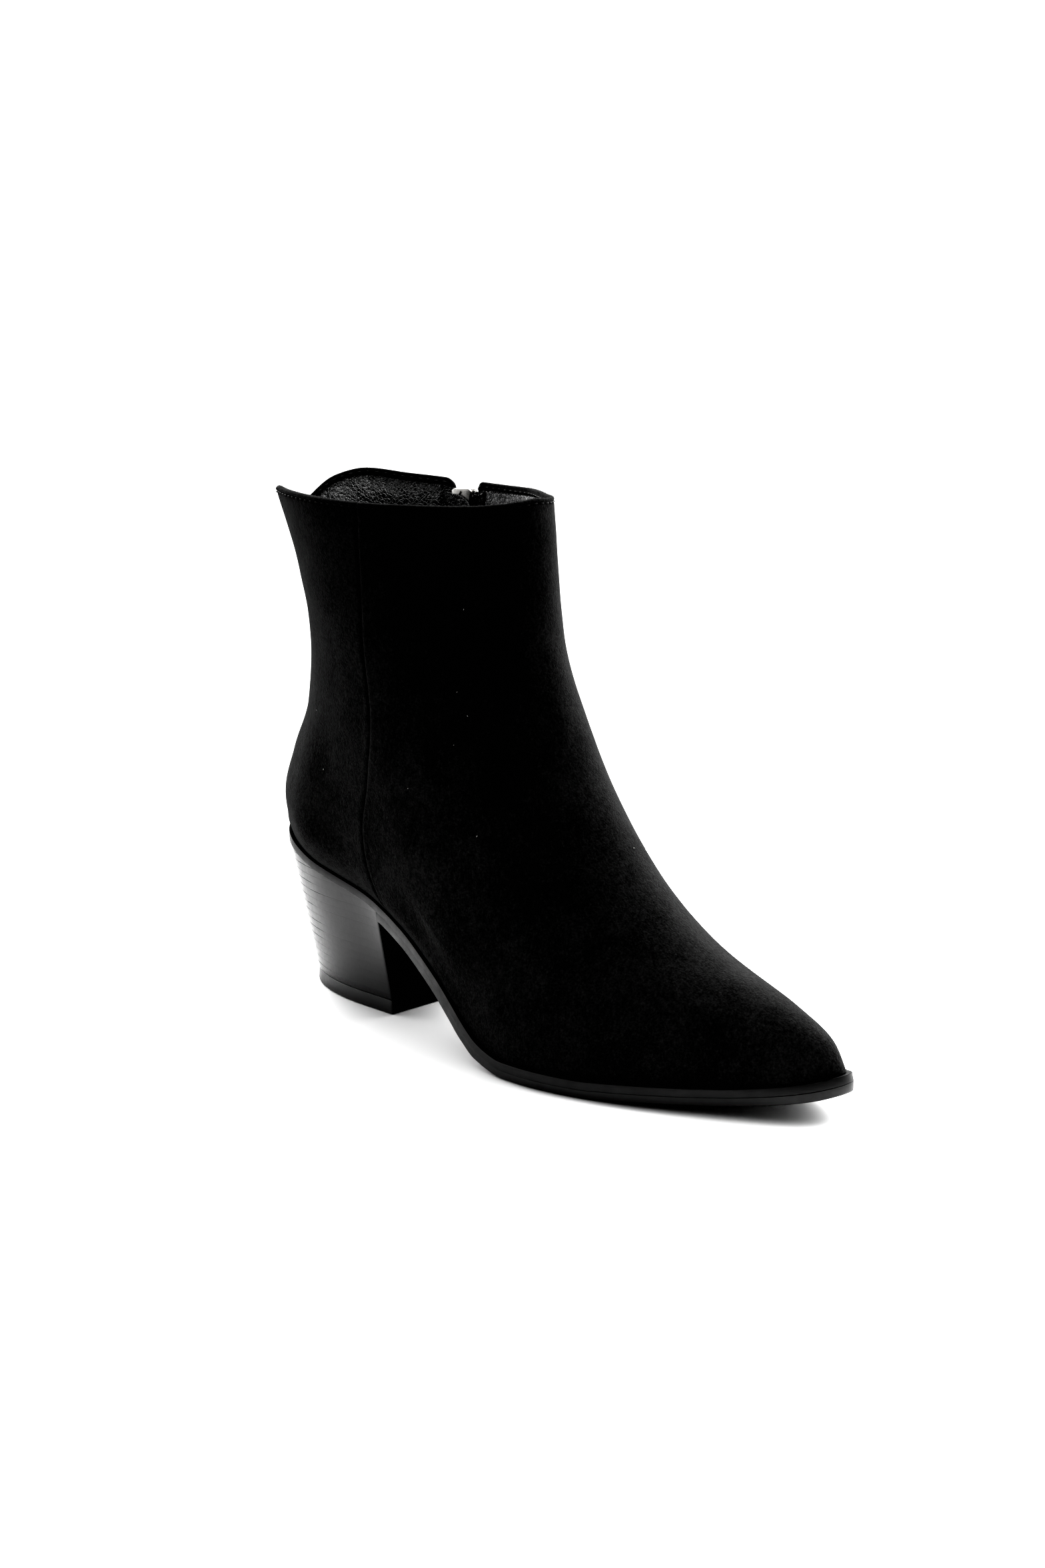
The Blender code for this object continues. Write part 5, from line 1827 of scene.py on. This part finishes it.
class BOOT_OT_stage(bpy.types.Operator):
    """White floor, soft studio light and the camera of the photograph"""

    bl_idname = "boot.stage"
    bl_label = "Stage"

    def execute(self, context):
        scene = context.scene
        self.floor(scene)
        self.studio(scene)
        self.camera(scene)
        view = scene.view_settings
        view.view_transform = "Standard"
        view.look = CONTRAST
        view.use_curve_mapping = True
        view.curve_mapping.black_level = (BLACK_LEVEL, BLACK_LEVEL, BLACK_LEVEL)
        view.curve_mapping.update()
        return {"FINISHED"}

    def studio(self, scene):
        """Soft lights in dim surroundings, with a plain white backdrop behind the boot."""
        world = bpy.data.worlds.new("studio")
        world.use_nodes = True
        nodes = Nodes(world.node_tree)
        background = nodes.tree.nodes["Background"]
        background.inputs["Color"].default_value = (1.0, 1.0, 1.0, 1.0)
        place = nodes.add("ShaderNodeTexCoord")
        surround = nodes.add("ShaderNodeValue")
        surround.outputs["Value"].default_value = SURROUND
        light = surround.outputs["Value"]
        for name, direction, strength in LIGHTS:
            facing = nodes.add("ShaderNodeVectorMath", operation="DOT_PRODUCT", name=name)
            facing.inputs[1].default_value = Vector(direction).normalized()
            nodes.link(place.outputs["Generated"], facing.inputs[0])
            soft = nodes.mapped(facing.outputs["Value"], LIGHT_SPREAD, (0.0, strength), "SMOOTHSTEP")
            light = nodes.reckoned("ADD", light, soft)
        path = nodes.add("ShaderNodeLightPath")
        seen = nodes.add("ShaderNodeMix", {"B": BACKDROP}, data_type="FLOAT")
        nodes.link(path.outputs["Is Camera Ray"], seen.inputs["Factor"])
        nodes.link(light, seen.inputs["A"])
        nodes.link(seen.outputs["Result"], background.inputs["Strength"])
        scene.world = world

    def floor(self, scene):
        """Plain round floor under the boot, as pale as the backdrop that it runs into."""
        helper = bmesh.new()
        bmesh.ops.create_circle(helper, cap_ends=True, segments=FLOOR_SIDES, radius=FLOOR_RADIUS)
        mesh = bpy.data.meshes.new("floor")
        helper.to_mesh(mesh)
        helper.free()
        values = {"Roughness": 0.9, "Specular IOR Level": 0.1}
        mesh.materials.append(Finish("pale_floor", scene.boot_colours.floor, values).material)
        floor = bpy.data.objects.new("floor", mesh)
        floor.location.z = -FLOOR_DROP
        scene.collection.objects.link(floor)

    def camera(self, scene):
        """Camera at the photograph's angle."""
        data = bpy.data.cameras.new("camera")
        data.sensor_width = SENSOR_WIDTH
        data.lens = FOCAL_PIXELS / PHOTO_HEIGHT * SENSOR_WIDTH
        camera = bpy.data.objects.new("camera", data)
        azimuth = math.radians(CAMERA_AZIMUTH)
        elevation = math.radians(CAMERA_ELEVATION)
        flat = math.cos(elevation)
        back = Vector((math.sin(azimuth) * flat, -math.cos(azimuth) * flat, math.sin(elevation)))
        camera.location = Vector(placed(CAMERA_TARGET)) + CAMERA_DISTANCE * back
        camera.rotation_euler = back.to_track_quat("Z", "Y").to_euler()
        scene.collection.objects.link(camera)
        scene.camera = camera


OPERATORS = (BOOT_OT_suede, BOOT_OT_lining, BOOT_OT_stitching, BOOT_OT_sole, BOOT_OT_heel, BOOT_OT_zip,
             BOOT_OT_lint, BOOT_OT_nap, BOOT_OT_stage)


class BOOT_PT_panel(bpy.types.Panel):
    """Lists the boot's pieces, sizes and colours"""

    bl_idname = "BOOT_PT_panel"
    bl_label = "Pointed toe boot"
    bl_space_type = "VIEW_3D"
    bl_region_type = "UI"
    bl_category = "Boot"

    def draw(self, context):
        for operator in OPERATORS:
            self.layout.operator(operator.bl_idname)
        for group in (context.scene.boot_sizes, context.scene.boot_colours):
            for name in group.__annotations__:
                self.layout.prop(group, name)


CLASSES = (BootSizes, BootColours) + OPERATORS + (BOOT_PT_panel,)


def register():
    """Adds the classes and the scene's sizes and colours."""
    for made in CLASSES:
        bpy.utils.register_class(made)
    bpy.types.Scene.boot_sizes = PointerProperty(type=BootSizes)
    bpy.types.Scene.boot_colours = PointerProperty(type=BootColours)


def unregister():
    """Takes out what register added."""
    del bpy.types.Scene.boot_colours
    del bpy.types.Scene.boot_sizes
    for made in reversed(CLASSES):
        bpy.utils.unregister_class(made)


def main():
    """Builds the boot and its stage."""
    register()
    bpy.ops.boot.suede()
    bpy.ops.boot.lining()
    bpy.ops.boot.stitching()
    bpy.ops.boot.sole()
    bpy.ops.boot.heel()
    bpy.ops.boot.zip()
    bpy.ops.boot.lint()
    bpy.ops.boot.nap()
    bpy.ops.boot.stage()


if __name__ == "__main__":
    main()
